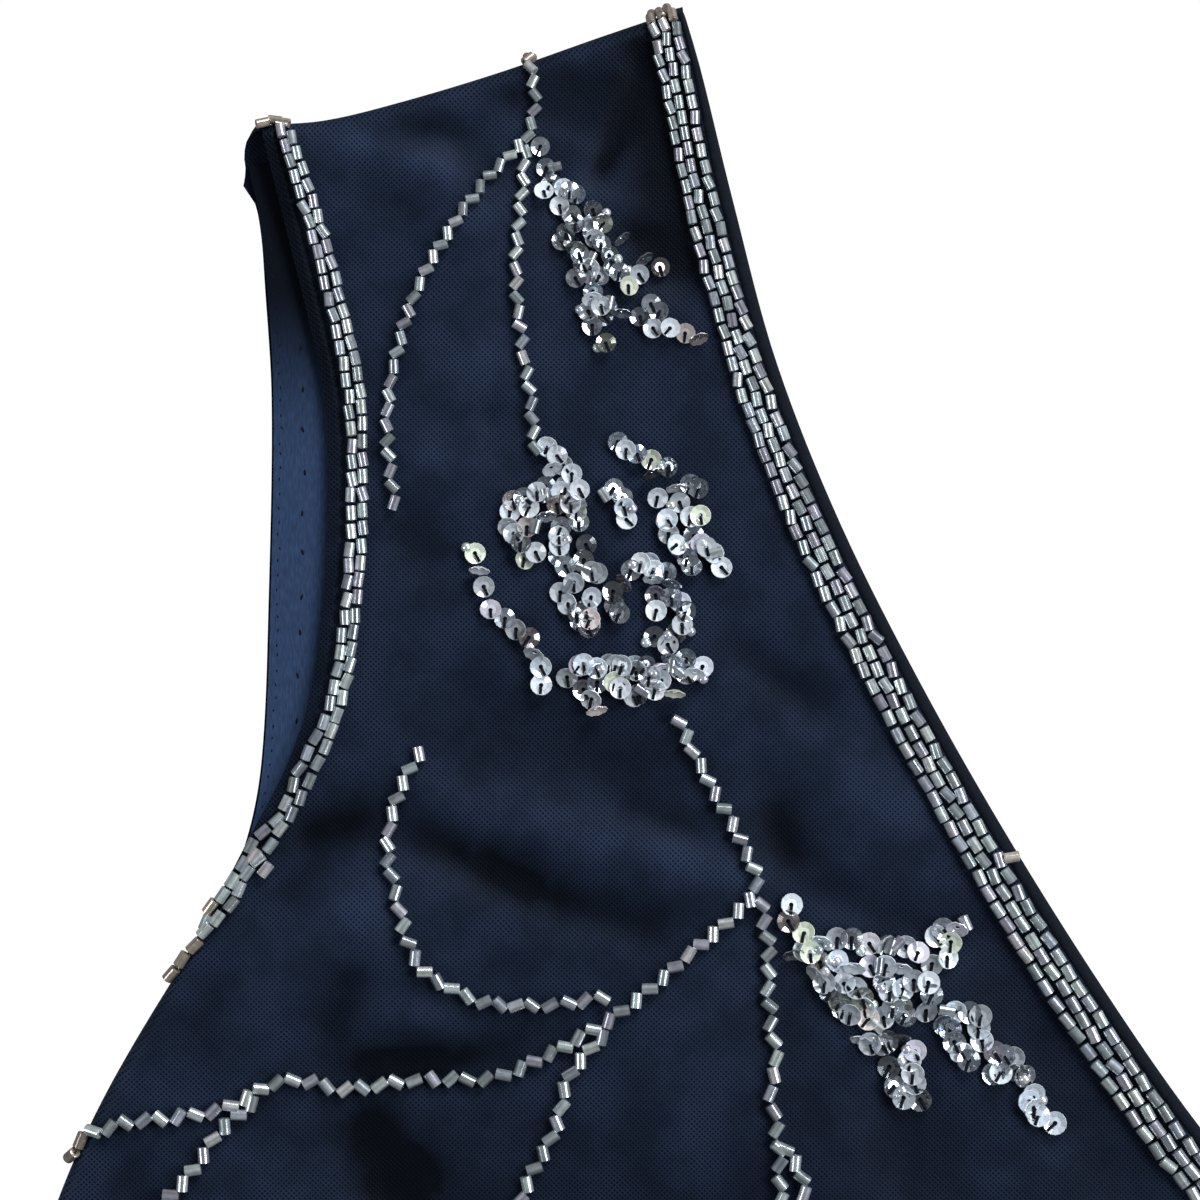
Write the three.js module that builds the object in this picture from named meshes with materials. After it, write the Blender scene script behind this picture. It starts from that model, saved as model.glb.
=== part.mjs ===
// Sleeveless V-neck party dress in beaded net over satin, laid flat with its front up.
// Millimetres, +Z up. The neck is towards +Y, and left means towards -X.
// Depth is measured down the dress from the top of the shoulders, half from its centre line.
// The origin is on the surface that the dress lies on, at the middle of its outline.
import * as THREE from 'three';

// Whole dress
const SHOULDER_TOP_Y = 480;
const DRESS_LENGTH = 960;
const HEM_RISE = 10;

// Cloth wall, and the soft rolls where front and back meet at the sides and shoulders
const CLOTH = 1.2;
const SEAM_GAP = 0.3;
const ROLL_RADIUS = 2.4;
const ROLL_MIDDLE = ROLL_RADIUS + CLOTH / 2;
const ROLL_TOP = ROLL_MIDDLE + ROLL_RADIUS;
const ROLL_ANGLES = [9, 35, 62, 90];
const SETTLE_DISTANCE = 16;
const FRONT_REST = 4;
const DEEPEST_TROUGH = -1.8;

// Edges: how far the folds keep from them, and where the armhole edge turns into the side roll
const CALM_FROM = 8;
const CALM_TO = 32;
const SIDE_ROLL_FROM = 172;
const SIDE_ROLL_TO = 200;
const DIP_LENGTH = 80;

// Neck binding
const BINDING_WIDTH_TOP = 1.0;
const BINDING_WIDTH = 2.3;
const BINDING_FULL_DEPTH = 40;
const BINDING_THICKNESS = 1.6;
const BINDING_EDGE_THICKNESS = 0.8;

// Bead trims, with rows of bugle beads 2 mm thick side by side, which lie farther apart lower down
const BEAD_THICKNESS = 2;
const BEAD_ROW_WIDTH = 2.2;
const BEAD_ROW_SPREAD = 1.25;
const SPREAD_FULL_DEPTH = 220;
const BEAD_VALLEY = 1.3;
const BEAD_EDGE = 0.9;
const NECK_BEAD_ROWS = 3;
const ARMHOLE_BEAD_ROWS = 2;
const ARMHOLE_EDGE_BAND = 2.5;
const ARMHOLE_EDGE_BAND_LOW = 1.2;
const EDGE_BAND_FROM = 150;
const ARMHOLE_BEADS_END = 196;

// Back lining, where it shows through the armholes
const LINING = 1;
const LINING_EDGE = 0.5;
const LINING_WIDTH = 30;
const LINING_COLUMNS = 4;
const LINING_SHOULDER_GAP = 8;
const LINING_END = 172;

// Spacing of the points
const BODICE_STEP = 14;
const SKIRT_STEP = 30;
const BACK_BODICE_STEP = 22;
const BACK_SKIRT_STEP = 55;
const FRONT_EVEN_COLUMNS = 8;
const BACK_EVEN_COLUMNS = 5;

const RADIANS = Math.PI / 180;

// A table with named columns, from its column names and its rows
function table(columns, rows) {
  const names = columns.split(' ');
  return rows.map((row) => Object.fromEntries(names.map((name, i) => [name, row[i]])));
}

// Two columns of points where the cloth settles beside a side fold
const SETTLE_PARTS = table('furthest share', [
  [10, 0.14],
  [26, 0.3],
]);

const SHOULDER = table('half depth', [
  [120.5, 1.6],
  [137, 7.2],
  [157, 14.2],
  [177, 20.2],
  [192, 23.8],
  [205, 24.8],
]);

const NECK = table('depth half', [
  [1.6, 120.5],
  [14.2, 116.8],
  [40, 110.4],
  [72, 101.8],
  [104, 89.2],
  [136, 73.2],
  [168, 55],
  [200, 34.8],
  [225.4, 17],
  [245.6, 0],
]);

const FRONT_ARMHOLE = table('depth half', [
  [24.8, 205],
  [45.8, 199.8],
  [62.8, 195.6],
  [80, 192],
  [103.6, 191.4],
  [124.2, 192.8],
  [141.4, 195.6],
  [154.2, 200.2],
  [167.2, 207],
  [184, 215.8],
]);

const BACK_ARMHOLE = table('depth half', [
  [24.8, 205],
  [32, 208],
  [40, 206.4],
  [56, 204.4],
  [80, 203],
  [120, 203.6],
  [152, 205],
  [168, 208],
  [184, 214.5],
]);

const SIDE_FOLD = table('depth half', [
  [196, 222.6],
  [216.2, 234.6],
  [232.6, 242.6],
  [250, 249],
  [270, 254],
  [310, 259],
  [370, 254],
  [430, 246],
  [530, 256],
  [640, 270],
  [800, 279],
  [960, 285],
]);

const FRONT_OUTER = [...FRONT_ARMHOLE, ...SIDE_FOLD];
const BACK_OUTER = [...BACK_ARMHOLE, ...SIDE_FOLD];

// The largest soft folds of the front. Each runs from one end to the other, and x is signed.
// A trough has a height below zero.
const FOLDS = table('x1 depth1 x2 depth2 width height', [
  [-197, 27, -161, 44, 11, 2.0],
  [-162, 36, -162, 84, 14, 1.2],
  [-118, 40, -92, 112, 10, -1.2],
  [-171, 146, -129, 150, 11, -1.3],
  [-220, 206, -173, 178, 13, 1.9],
  [-205, 222, -150, 204, 12, -1.4],
  [-232, 250, -150, 262, 16, 2.4],
  [-110, 205, -60, 300, 18, 1.8],
  [196, 36, 150, 58, 12, 1.8],
  [152, 60, 168, 132, 15, 1.4],
  [112, 70, 84, 140, 11, -1.2],
  [222, 214, 160, 186, 14, 2.2],
  [206, 236, 120, 226, 13, -1.5],
  [236, 268, 130, 276, 17, 2.0],
  [60, 214, 86, 330, 18, 1.6],
  [-228, 330, -120, 392, 20, 2.6],
  [-205, 410, -60, 420, 18, -1.6],
  [214, 352, 96, 404, 21, 2.8],
  [190, 446, 40, 430, 18, -1.5],
  [-150, 440, -196, 700, 24, 3.0],
  [-80, 470, -104, 820, 26, -1.7],
  [-20, 330, -34, 660, 22, 2.2],
  [44, 520, 60, 948, 25, 2.6],
  [128, 470, 150, 790, 26, -1.7],
  [188, 520, 214, 930, 24, 3.2],
  [-150, 760, -166, 950, 23, 2.4],
  [-40, 720, -52, 955, 20, 2.0],
  [236, 610, 244, 800, 18, 1.8],
  [-238, 690, -248, 900, 19, 2.0],
  [110, 840, 116, 955, 20, 1.8],
]);

function smooth(value, from, to) {
  const t = THREE.MathUtils.clamp((value - from) / (to - from), 0, 1);
  return t * t * (3 - 2 * t);
}

// Reads a column of a table on a smooth curve through its rows
function read(rows, key, column, value) {
  let i = 0;
  while (i < rows.length - 2 && value > rows[i + 1][key]) i += 1;
  const slope = (j) => {
    const before = rows[Math.max(j - 1, 0)];
    const after = rows[Math.min(j + 1, rows.length - 1)];
    return (after[column] - before[column]) / (after[key] - before[key]);
  };
  const span = rows[i + 1][key] - rows[i][key];
  const t = THREE.MathUtils.clamp((value - rows[i][key]) / span, 0, 1);
  const a = rows[i][column];
  const b = rows[i + 1][column];
  const rise = t * t * (3 - 2 * t);
  const early = t * (1 - t) * (1 - t) * span * slope(i);
  const late = t * t * (t - 1) * span * slope(i + 1);
  return a + (b - a) * rise + early + late;
}

function slopeOf(rows, key, column, value) {
  const low = Math.max(value - 0.5, rows[0][key]);
  const high = Math.min(value + 0.5, rows[rows.length - 1][key]);
  return (read(rows, key, column, high) - read(rows, key, column, low)) / (high - low);
}

const NECK_TOP = NECK[0].depth;
const V_DEPTH = NECK[NECK.length - 1].depth;
const SHOULDER_END = SHOULDER[SHOULDER.length - 1];
const SHOULDER_SLOPE = (SHOULDER_END.depth - SHOULDER[0].depth) / (SHOULDER_END.half - SHOULDER[0].half);
const SHOULDER_COSINE = 1 / Math.hypot(1, SHOULDER_SLOPE);

// A point of the cloth beside the neck edge, or at the foot of the V straight below it
function neckPoint(depth, inset) {
  const slope = slopeOf(NECK, 'depth', 'half', depth);
  const length = Math.hypot(1, slope);
  if (depth >= V_DEPTH) return { half: 0, depth: V_DEPTH - (inset * length) / slope };
  return {
    half: read(NECK, 'depth', 'half', depth) + inset / length,
    depth: depth - (inset * slope) / length,
  };
}

// A point of the cloth beside the outer edge: an armhole, or the side fold below it
function outerPoint(outer, depth, inset) {
  const slope = slopeOf(outer, 'depth', 'half', depth);
  const length = Math.hypot(1, slope);
  return {
    half: read(outer, 'depth', 'half', depth) - inset / length,
    depth: depth + (inset * slope) / length,
  };
}

function shoulderDistance(half, depth) {
  return (depth - read(SHOULDER, 'half', 'depth', half)) * SHOULDER_COSINE;
}

function outerDistance(outer, half, depth) {
  const slope = slopeOf(outer, 'depth', 'half', depth);
  return (read(outer, 'depth', 'half', depth) - half) / Math.hypot(1, slope);
}

function neckDistance(half, depth) {
  if (depth >= V_DEPTH) return Math.hypot(half, depth - V_DEPTH);
  const slope = slopeOf(NECK, 'depth', 'half', depth);
  return (half - read(NECK, 'depth', 'half', depth)) / Math.hypot(1, slope);
}

function sideRoll(depth) {
  return smooth(depth, SIDE_ROLL_FROM, SIDE_ROLL_TO);
}

// How far a rolled edge has turned away from flat, at a distance in from the fold
function rollDrop(distance) {
  const across = THREE.MathUtils.clamp(ROLL_MIDDLE - distance, 0, ROLL_RADIUS);
  return ROLL_RADIUS - Math.sqrt(ROLL_RADIUS ** 2 - across ** 2);
}

// The cloth stands at the roll's height beside a fold, and settles further in
function settle(distance) {
  return Math.exp(-((Math.max(distance - ROLL_MIDDLE, 0) / SETTLE_DISTANCE) ** 2));
}

function foldHeight(x, depth) {
  let height = 0;
  for (const fold of FOLDS) {
    const along = new THREE.Vector2(fold.x2 - fold.x1, fold.depth2 - fold.depth1);
    const from = new THREE.Vector2(x - fold.x1, depth - fold.depth1);
    const t = THREE.MathUtils.clamp(from.dot(along) / along.lengthSq(), 0, 1);
    const distance = from.addScaledVector(along, -t).length();
    const taper = 1 - 0.6 * (2 * t - 1) ** 4;
    height += fold.height * taper * Math.exp(-((distance / fold.width) ** 2));
  }
  return Math.max(height, DEEPEST_TROUGH);
}

// Height of the middle of the front cloth over a place on the surface
function frontHeight(x, depth) {
  const half = Math.abs(x);
  const outer = outerDistance(FRONT_OUTER, half, depth);
  const shoulder = shoulderDistance(half, depth);
  const rolled = sideRoll(depth);
  const raised = Math.max(settle(shoulder), rolled * settle(outer));
  const free = Math.min(outer, shoulder, neckDistance(half, depth));
  const calm = smooth(free, CALM_FROM, CALM_TO);
  const rest = FRONT_REST + (ROLL_TOP - FRONT_REST) * raised;
  return rest + calm * foldHeight(x, depth) - rollDrop(shoulder) - rolled * rollDrop(outer);
}

// Height of the middle of the back cloth, which lies flat between its rolled edges
function backHeight(x, depth) {
  const half = Math.abs(x);
  const outer = outerDistance(BACK_OUTER, half, depth);
  const shoulder = shoulderDistance(half, depth);
  return CLOTH / 2 + rollDrop(shoulder) + sideRoll(depth) * rollDrop(outer);
}

function pointOn(height, x, depth) {
  return new THREE.Vector3(x, SHOULDER_TOP_Y - depth, height(x, depth));
}

// A closed wall on rows of points, each with its reach below and above the point.
// Rows run down the dress and columns to the right. Equal points are one point, and no faces
// fill the notch column.
function wall(rows, notch = -1) {
  const points = [];
  const numbers = new Map();
  const numberOf = (entry) => {
    const key = entry.point.toArray().map((v) => v.toFixed(4)).join(' ');
    if (!numbers.has(key)) {
      numbers.set(key, points.length);
      points.push({ ...entry, normal: new THREE.Vector3() });
    }
    return numbers.get(key);
  };
  const grid = rows.map((row) => row.map(numberOf));
  const faces = [];
  for (let r = 0; r < grid.length - 1; r += 1) {
    for (let c = 0; c < grid[r].length - 1; c += 1) {
      if (c === notch) continue;
      faces.push([grid[r][c], grid[r + 1][c], grid[r + 1][c + 1]]);
      faces.push([grid[r][c], grid[r + 1][c + 1], grid[r][c + 1]]);
    }
  }

  const triangle = new THREE.Triangle();
  const edges = new Set();
  for (const [a, b, c] of faces) {
    triangle.set(points[a].point, points[b].point, points[c].point);
    const normal = triangle.getNormal(new THREE.Vector3()).multiplyScalar(triangle.getArea());
    for (const i of [a, b, c]) points[i].normal.add(normal);
    for (const edge of [[a, b], [b, c], [c, a]]) edges.add(edge.join(' '));
  }

  const positions = [];
  for (const { point, normal, above } of points) {
    positions.push(...point.clone().addScaledVector(normal.normalize(), above).toArray());
  }
  for (const { point, normal, below } of points) {
    positions.push(...point.clone().addScaledVector(normal, -below).toArray());
  }
  const under = points.length;
  const indices = [];
  for (const [a, b, c] of faces) indices.push(a, b, c, a + under, c + under, b + under);
  for (const edge of edges) {
    const [a, b] = edge.split(' ').map(Number);
    if (edges.has(`${b} ${a}`)) continue;
    indices.push(b, a, a + under, b, a + under, b + under);
  }
  const geometry = new THREE.BufferGeometry();
  geometry.setAttribute('position', new THREE.Float32BufferAttribute(positions, 3));
  geometry.setIndex(indices);
  geometry.computeVertexNormals();
  return geometry;
}

const ROLL_STEPS = ROLL_ANGLES.map((angle) => CLOTH / 2 + ROLL_RADIUS * (1 - Math.cos(angle * RADIANS)));

// Distances down from the shoulder fold to each row of the bodice, ending at the foot of the V
function bodiceShifts(step) {
  const rolled = ROLL_STEPS.map((distance) => distance / SHOULDER_COSINE);
  const last = V_DEPTH - NECK_TOP;
  const even = Math.round((last - rolled[rolled.length - 1]) / step);
  const shifts = [...rolled];
  for (let i = 1; i <= even; i += 1) {
    shifts.push(THREE.MathUtils.lerp(rolled[rolled.length - 1], last, i / even));
  }
  return shifts;
}

function bindingWidth(depth) {
  return THREE.MathUtils.lerp(BINDING_WIDTH_TOP, BINDING_WIDTH, smooth(depth, 0, BINDING_FULL_DEPTH));
}

// Depth of a bodice row's outer end. Rows follow the shoulder's slope and level out at the V.
function outerDepth(shift) {
  const last = V_DEPTH - NECK_TOP;
  const foot = neckPoint(V_DEPTH, BINDING_WIDTH + SEAM_GAP).depth;
  const levelling = SHOULDER_END.depth + last - foot;
  return SHOULDER_END.depth + shift - levelling * (shift / last) ** 2;
}

// Where the two ends of a bodice row lie, at a distance down from the shoulder fold
function bodiceRowEnds(outer, shift) {
  const depth = Math.min(NECK_TOP + shift, V_DEPTH);
  return {
    inner: neckPoint(depth, bindingWidth(depth) + SEAM_GAP),
    outer: outerPoint(outer, outerDepth(shift), 0),
    dip: 1 - smooth(shift, 0, DIP_LENGTH),
    bow: 1,
  };
}

function steepness(outer, depth) {
  return Math.hypot(1, slopeOf(outer, 'depth', 'half', depth));
}

// A place in a row, at a distance in from the row's outer end
function rowPlace(ends, distance) {
  const t = distance / (ends.outer.half - ends.inner.half);
  const line = THREE.MathUtils.lerp(SHOULDER_END.depth, NECK_TOP, t);
  const foldHalf = THREE.MathUtils.lerp(SHOULDER_END.half, SHOULDER[0].half, t);
  const dip = (read(SHOULDER, 'half', 'depth', foldHalf) - line) * ends.dip;
  const rise = (ends.inner.depth - ends.outer.depth) * (1 - t) ** ends.bow;
  return { half: ends.outer.half - distance, depth: ends.inner.depth - rise + dip };
}

// One side of a row, from its outer end to its inner end
function rowPoints(side, ends, outer, height, evenColumns) {
  const { half, depth } = ends.outer;
  const width = half - ends.inner.half;
  const steps = ROLL_STEPS.map((step) => step * steepness(outer, depth));
  steps[0] *= sideRoll(depth);
  for (const part of SETTLE_PARTS) steps.push(Math.min(part.furthest, width * part.share));
  const settled = steps[steps.length - 1];
  for (let i = 1; i <= evenColumns; i += 1) {
    steps.push(THREE.MathUtils.lerp(settled, width, i / evenColumns));
  }
  return steps.map((step) => {
    const place = rowPlace(ends, step);
    return pointOn(height, side * place.half, place.depth);
  });
}

// A panel: bodice rows that split at the V, then skirt rows from side to side
function panel(outer, height, bodiceStep, skirtStep, evenColumns) {
  const ends = bodiceShifts(bodiceStep).map((shift) => bodiceRowEnds(outer, shift));
  const foot = ends[ends.length - 1].inner.depth;
  const skirtRows = Math.round((DRESS_LENGTH - foot) / skirtStep);
  for (let i = 1; i <= skirtRows; i += 1) {
    const depth = THREE.MathUtils.lerp(foot, DRESS_LENGTH, i / skirtRows);
    const side = depth - HEM_RISE * smooth(depth, foot, DRESS_LENGTH);
    ends.push({ inner: { half: 0, depth }, outer: outerPoint(outer, side, 0), dip: 0, bow: 2 });
  }
  const rows = ends.map((end) => {
    const left = rowPoints(-1, end, outer, height, evenColumns);
    const right = rowPoints(1, end, outer, height, evenColumns).reverse();
    return [...left, ...right].map((point) => ({ point, below: CLOTH / 2, above: CLOTH / 2 }));
  });
  return wall(rows, rows[0].length / 2 - 1);
}

// The binding runs down one side of the V and up the other
function neckBinding(height, thickest) {
  const shifts = bodiceShifts(BODICE_STEP);
  const side = (sign) => shifts.map((shift) => {
    const depth = Math.min(NECK_TOP + shift, V_DEPTH);
    return [1, 0.72, 0.28, 0].map((part, i) => {
      const place = neckPoint(depth, part * bindingWidth(depth));
      const thickness = i === 0 || i === 3 ? BINDING_EDGE_THICKNESS : thickest;
      const point = pointOn(height, sign * place.half, place.depth);
      return { point, below: Math.min(thickness, CLOTH) / 2, above: thickness / 2 };
    });
  });
  return wall([...side(-1), ...side(1).reverse().slice(1)]);
}

function rowSpread(depth) {
  return 1 + (BEAD_ROW_SPREAD - 1) * THREE.MathUtils.clamp(depth / SPREAD_FULL_DEPTH, 0, 1);
}

// Bead rows side by side on the cloth, with a valley between two rows
function beadSection(beadRows) {
  const section = [];
  for (let i = 0; i <= 2 * beadRows; i += 1) {
    const onEdge = i === 0 || i === 2 * beadRows;
    const low = onEdge ? BEAD_EDGE : BEAD_VALLEY;
    section.push({ inset: (i * BEAD_ROW_WIDTH) / 2, rise: i % 2 === 1 ? BEAD_THICKNESS : low });
  }
  return section;
}

// Puts the points of each row in order from left to right
function leftToRight(rows) {
  const [first] = rows;
  const ordered = first[0].point.x < first[first.length - 1].point.x;
  return ordered ? rows : rows.map((row) => [...row].reverse());
}

// The last row is moved back to a share of its distance from the row before
function beadTrim(side, places, lastShare = 1) {
  const base = CLOTH / 2 + SEAM_GAP;
  const rows = places.map((row) => row.map(({ half, depth, rise }) => ({
    point: pointOn(frontHeight, side * Math.max(half, SEAM_GAP / 2), depth),
    below: -base,
    above: base + rise,
  })));
  const [before, last] = rows.slice(-2);
  last.forEach(({ point }, i) => point.lerpVectors(before[i].point, point, lastShare));
  return wall(leftToRight(rows));
}

function neckBeads(side) {
  const section = beadSection(NECK_BEAD_ROWS);
  return beadTrim(side, bodiceShifts(BODICE_STEP).map((shift) => {
    const depth = Math.min(NECK_TOP + shift, V_DEPTH);
    const start = bindingWidth(depth) + SEAM_GAP;
    const spread = rowSpread(depth);
    return section.map(({ inset, rise }) => ({ ...neckPoint(depth, start + inset * spread), rise }));
  }));
}

function armholeBeads(side) {
  const section = beadSection(ARMHOLE_BEAD_ROWS);
  const rows = bodiceShifts(BODICE_STEP).map((shift) => bodiceRowEnds(FRONT_OUTER, shift));
  const next = rows.findIndex((ends) => ends.outer.depth >= ARMHOLE_BEADS_END);
  const [from, to] = [rows[next - 1].outer.depth, rows[next].outer.depth];
  const lastShare = (ARMHOLE_BEADS_END - from) / (to - from);
  return beadTrim(side, rows.slice(0, next + 1).map((ends) => {
    const { depth } = ends.outer;
    const low = smooth(depth, EDGE_BAND_FROM, SIDE_ROLL_FROM);
    const start = THREE.MathUtils.lerp(ARMHOLE_EDGE_BAND, ARMHOLE_EDGE_BAND_LOW, low);
    const steep = steepness(FRONT_OUTER, depth);
    const spread = rowSpread(depth);
    return section.map(({ inset, rise }) => ({ ...rowPlace(ends, (start + inset * spread) * steep), rise }));
  }), lastShare);
}

function backLining(side) {
  const base = CLOTH / 2 + SEAM_GAP;
  const first = SHOULDER_END.depth + LINING_SHOULDER_GAP;
  const count = Math.round((LINING_END - first) / BODICE_STEP);
  const rows = [];
  for (let r = 0; r <= count; r += 1) {
    const depth = THREE.MathUtils.lerp(first, LINING_END, r / count);
    const row = [];
    for (let c = 0; c <= LINING_COLUMNS; c += 1) {
      const inset = THREE.MathUtils.lerp(LINING_EDGE, LINING_WIDTH, c / LINING_COLUMNS);
      const place = outerPoint(BACK_OUTER, depth, inset);
      row.push({ point: pointOn(backHeight, side * place.half, place.depth), below: -base, above: base + LINING });
    }
    rows.push(row);
  }
  return wall(leftToRight(rows));
}

const netOverSatin = new THREE.MeshStandardMaterial({ color: '#1f283a', roughness: 0.6, metalness: 0 });
const liningSatin = new THREE.MeshStandardMaterial({ color: '#35435e', roughness: 0.45, metalness: 0 });
const bindingCloth = new THREE.MeshStandardMaterial({ color: '#161c28', roughness: 0.7, metalness: 0 });
const silverBeads = new THREE.MeshStandardMaterial({ color: '#b9bcc0', roughness: 0.25, metalness: 0.6 });

const dress = new THREE.Group();

function add(name, geometry, material) {
  const mesh = new THREE.Mesh(geometry, material);
  mesh.name = name;
  dress.add(mesh);
}

add('front_panel', panel(FRONT_OUTER, frontHeight, BODICE_STEP, SKIRT_STEP, FRONT_EVEN_COLUMNS), netOverSatin);
add('back_panel', panel(BACK_OUTER, backHeight, BACK_BODICE_STEP, BACK_SKIRT_STEP, BACK_EVEN_COLUMNS), netOverSatin);
add('neck_binding_front', neckBinding(frontHeight, BINDING_THICKNESS), bindingCloth);
add('neck_binding_back', neckBinding(backHeight, CLOTH), bindingCloth);
for (const [name, side] of [['left', -1], ['right', 1]]) {
  add(`back_lining_${name}`, backLining(side), liningSatin);
  add(`neck_beads_${name}`, neckBeads(side), silverBeads);
  add(`armhole_beads_${name}`, armholeBeads(side), silverBeads);
}

export default dress;
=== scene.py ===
# A beaded party dress lying flat with its front up, seen close from straight above.
import math
import random

import bmesh
import bpy
import numpy as np
from mathutils import Matrix, Vector


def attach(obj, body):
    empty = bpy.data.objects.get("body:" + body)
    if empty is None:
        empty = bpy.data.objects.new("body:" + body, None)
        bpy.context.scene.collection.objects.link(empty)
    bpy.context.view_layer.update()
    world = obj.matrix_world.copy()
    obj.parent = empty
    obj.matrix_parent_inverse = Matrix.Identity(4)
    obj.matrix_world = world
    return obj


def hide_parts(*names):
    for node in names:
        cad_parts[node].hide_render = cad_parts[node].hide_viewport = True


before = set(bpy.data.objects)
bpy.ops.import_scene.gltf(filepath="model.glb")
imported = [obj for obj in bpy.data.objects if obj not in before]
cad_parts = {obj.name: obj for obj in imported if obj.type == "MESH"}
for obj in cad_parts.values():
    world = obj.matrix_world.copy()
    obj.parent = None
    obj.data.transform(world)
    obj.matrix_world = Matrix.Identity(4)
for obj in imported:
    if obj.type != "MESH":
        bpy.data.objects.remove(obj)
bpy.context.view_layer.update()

# Camera, light and the surface
# A white light table, with the camera straight above the left strap as in the photograph.
# The frame is 240 mm wide at the height of the cloth. The table isn't mirrored in the beads,
# so it doesn't outshine them. Sizes here are in metres.
SHOULDER_TOP = 0.48
VIEW_WIDTH = 0.24
VIEW_CENTRE = (-0.137, SHOULDER_TOP - 0.12)
VIEW_PLANE = 0.005
LENS = 120
SENSOR = 36


def colour(code):
    """An sRGB hex colour as linear red, green, blue and alpha."""
    parts = [int(code[i : i + 2], 16) / 255 for i in (1, 3, 5)]
    linear = [p / 12.92 if p <= 0.04045 else ((p + 0.055) / 1.055) ** 2.4 for p in parts]
    return (*linear, 1.0)


def new_material(name):
    """A node material without any nodes."""
    material = bpy.data.materials.new(name)
    material.use_nodes = True
    material.node_tree.nodes.clear()
    return material


def add_node(material, kind, inputs=None, **settings):
    """Adds a node with its settings, and sets or links its inputs."""
    node = material.node_tree.nodes.new("ShaderNode" + kind)
    for key, value in settings.items():
        setattr(node, key, value)
    for key, value in (inputs or {}).items():
        if isinstance(value, bpy.types.NodeSocket):
            material.node_tree.links.new(value, node.inputs[key])
        else:
            node.inputs[key].default_value = value
    return node


def add_area_light(name, location, size, power):
    """A soft square light that faces the middle of the dress's top."""
    bpy.ops.object.light_add(type="AREA", location=location)
    light = bpy.context.object
    light.name = name
    light.data.size = size
    light.data.energy = power
    aim = Vector((*VIEW_CENTRE, 0)) - Vector(location)
    light.rotation_euler = aim.to_track_quat("-Z", "Y").to_euler()


bpy.ops.mesh.primitive_plane_add(size=8, location=(0, 0, -0.0003))
floor = bpy.context.object
floor.name = "floor"
glow = new_material("white_light_table")
lamp = add_node(glow, "Emission", {"Color": colour("#ffffff"), "Strength": 1.03})
add_node(glow, "OutputMaterial", {"Surface": lamp.outputs[0]})
floor.data.materials.append(glow)
floor.visible_glossy = False
camera_height = VIEW_PLANE + VIEW_WIDTH * LENS / SENSOR
bpy.ops.object.camera_add(location=(*VIEW_CENTRE, camera_height), rotation=(0, 0, 0))
camera = bpy.context.object
camera.data.lens = LENS
camera.data.sensor_width = SENSOR
camera.data.clip_start = 0.01
bpy.context.scene.camera = camera
add_area_light("key_light", (0.6, 1.9, 1.25), 0.9, 37)
add_area_light("right_light", (1.15, 0.33, 1.15), 0.75, 18)
add_area_light("left_light", (-1.25, 0.15, 0.9), 0.5, 5)
world = bpy.data.worlds.new("studio")
world.use_nodes = True
sky = world.node_tree.nodes["Background"].inputs
sky["Color"].default_value = colour("#f4f6fa")
sky["Strength"].default_value = 0.15
bpy.context.scene.world = world
bpy.context.scene.view_settings.view_transform = "Standard"

# Front
# Navy net mounted on navy satin, cut in one piece from the shoulders to the hem. It rolls over
# at the sides and shoulders and settles on the back between them. From here on, sizes are in
# millimetres: depth down from the top of the shoulders, and half out from the centre line.
MM = 0.001
TOP = SHOULDER_TOP / MM
SIDES = (("left", -1), ("right", 1))
DRESS_LENGTH = 960
HEM_RISE = 10
CLOTH = 1.2
SHELL = 0.8
ROLL_RADIUS = 2.4
ROLL_MIDDLE = ROLL_RADIUS + CLOTH / 2
ROLL_TOP = ROLL_MIDDLE + ROLL_RADIUS
ROLL_ANGLES = (3, 14, 26, 38, 50, 62, 76, 90)
SETTLE_DISTANCE = 16
FRONT_REST = 4
DEEPEST_TROUGH = -1.9
LINED_TROUGH = -1.1
LINED_TO, UNLINED_FROM = 26, 40
EDGE_GROOVE = 0.45
GROOVE_DISTANCE = 3.0
GROOVE_WIDTH = 0.7
CALM_TO, FOLDED_FROM = 8, 32
CREASED_FROM, CREASED_FULLY = 2, 12
SIDE_ROLL_FROM = 172
SIDE_ROLL_TO = 200
DIP_LENGTH = 80
SEAM_GAP = 0.3
BACK_NECK_GAP = 0.7
NECK_SEAM = 0.1
BINDING_WIDTH_TOP = 1.0
BINDING_WIDTH = 2.3
BINDING_FULL_DEPTH = 40


def table(columns, rows):
    """A table with named columns, each an array."""
    return dict(zip(columns.split(), np.array(rows, float).T))


SHOULDER = table("half depth", [
    (120.5, 1.6), (137, 7.2), (157, 14.2), (177, 20.2), (192, 23.8), (205, 24.8),
])
NECK = table("depth half", [
    (1.6, 120.5), (14.2, 116.8), (40, 110.4), (72, 101.8), (104, 89.2),
    (136, 73.2), (168, 55), (200, 34.8), (225.4, 17), (245.6, 0),
])
SIDE_FOLD = [
    (196, 222.6), (216.2, 234.6), (232.6, 242.6), (250, 249), (270, 254), (310, 259),
    (370, 254), (430, 246), (530, 256), (640, 270), (800, 279), (960, 285),
]
FRONT_OUTER = table("depth half", [
    (24.8, 205), (45.8, 199.8), (62.8, 195.6), (80, 192), (103.6, 191.4),
    (124.2, 192.8), (141.4, 195.6), (154.2, 200.2), (167.2, 207), (184, 215.8), *SIDE_FOLD,
])
BACK_ARMHOLE = [
    (56, 204.4), (80, 203), (120, 203.6), (152, 205), (168, 208), (184, 214.5), *SIDE_FOLD,
]
BACK_OUTER = table("depth half", [
    (24.8, 205), (26, 206.8), (28, 208.1), (31, 208.5), (34, 208.2), (37.4, 208.6), (39.6, 206.6),
    (46, 205.2), *BACK_ARMHOLE,
])

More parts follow.
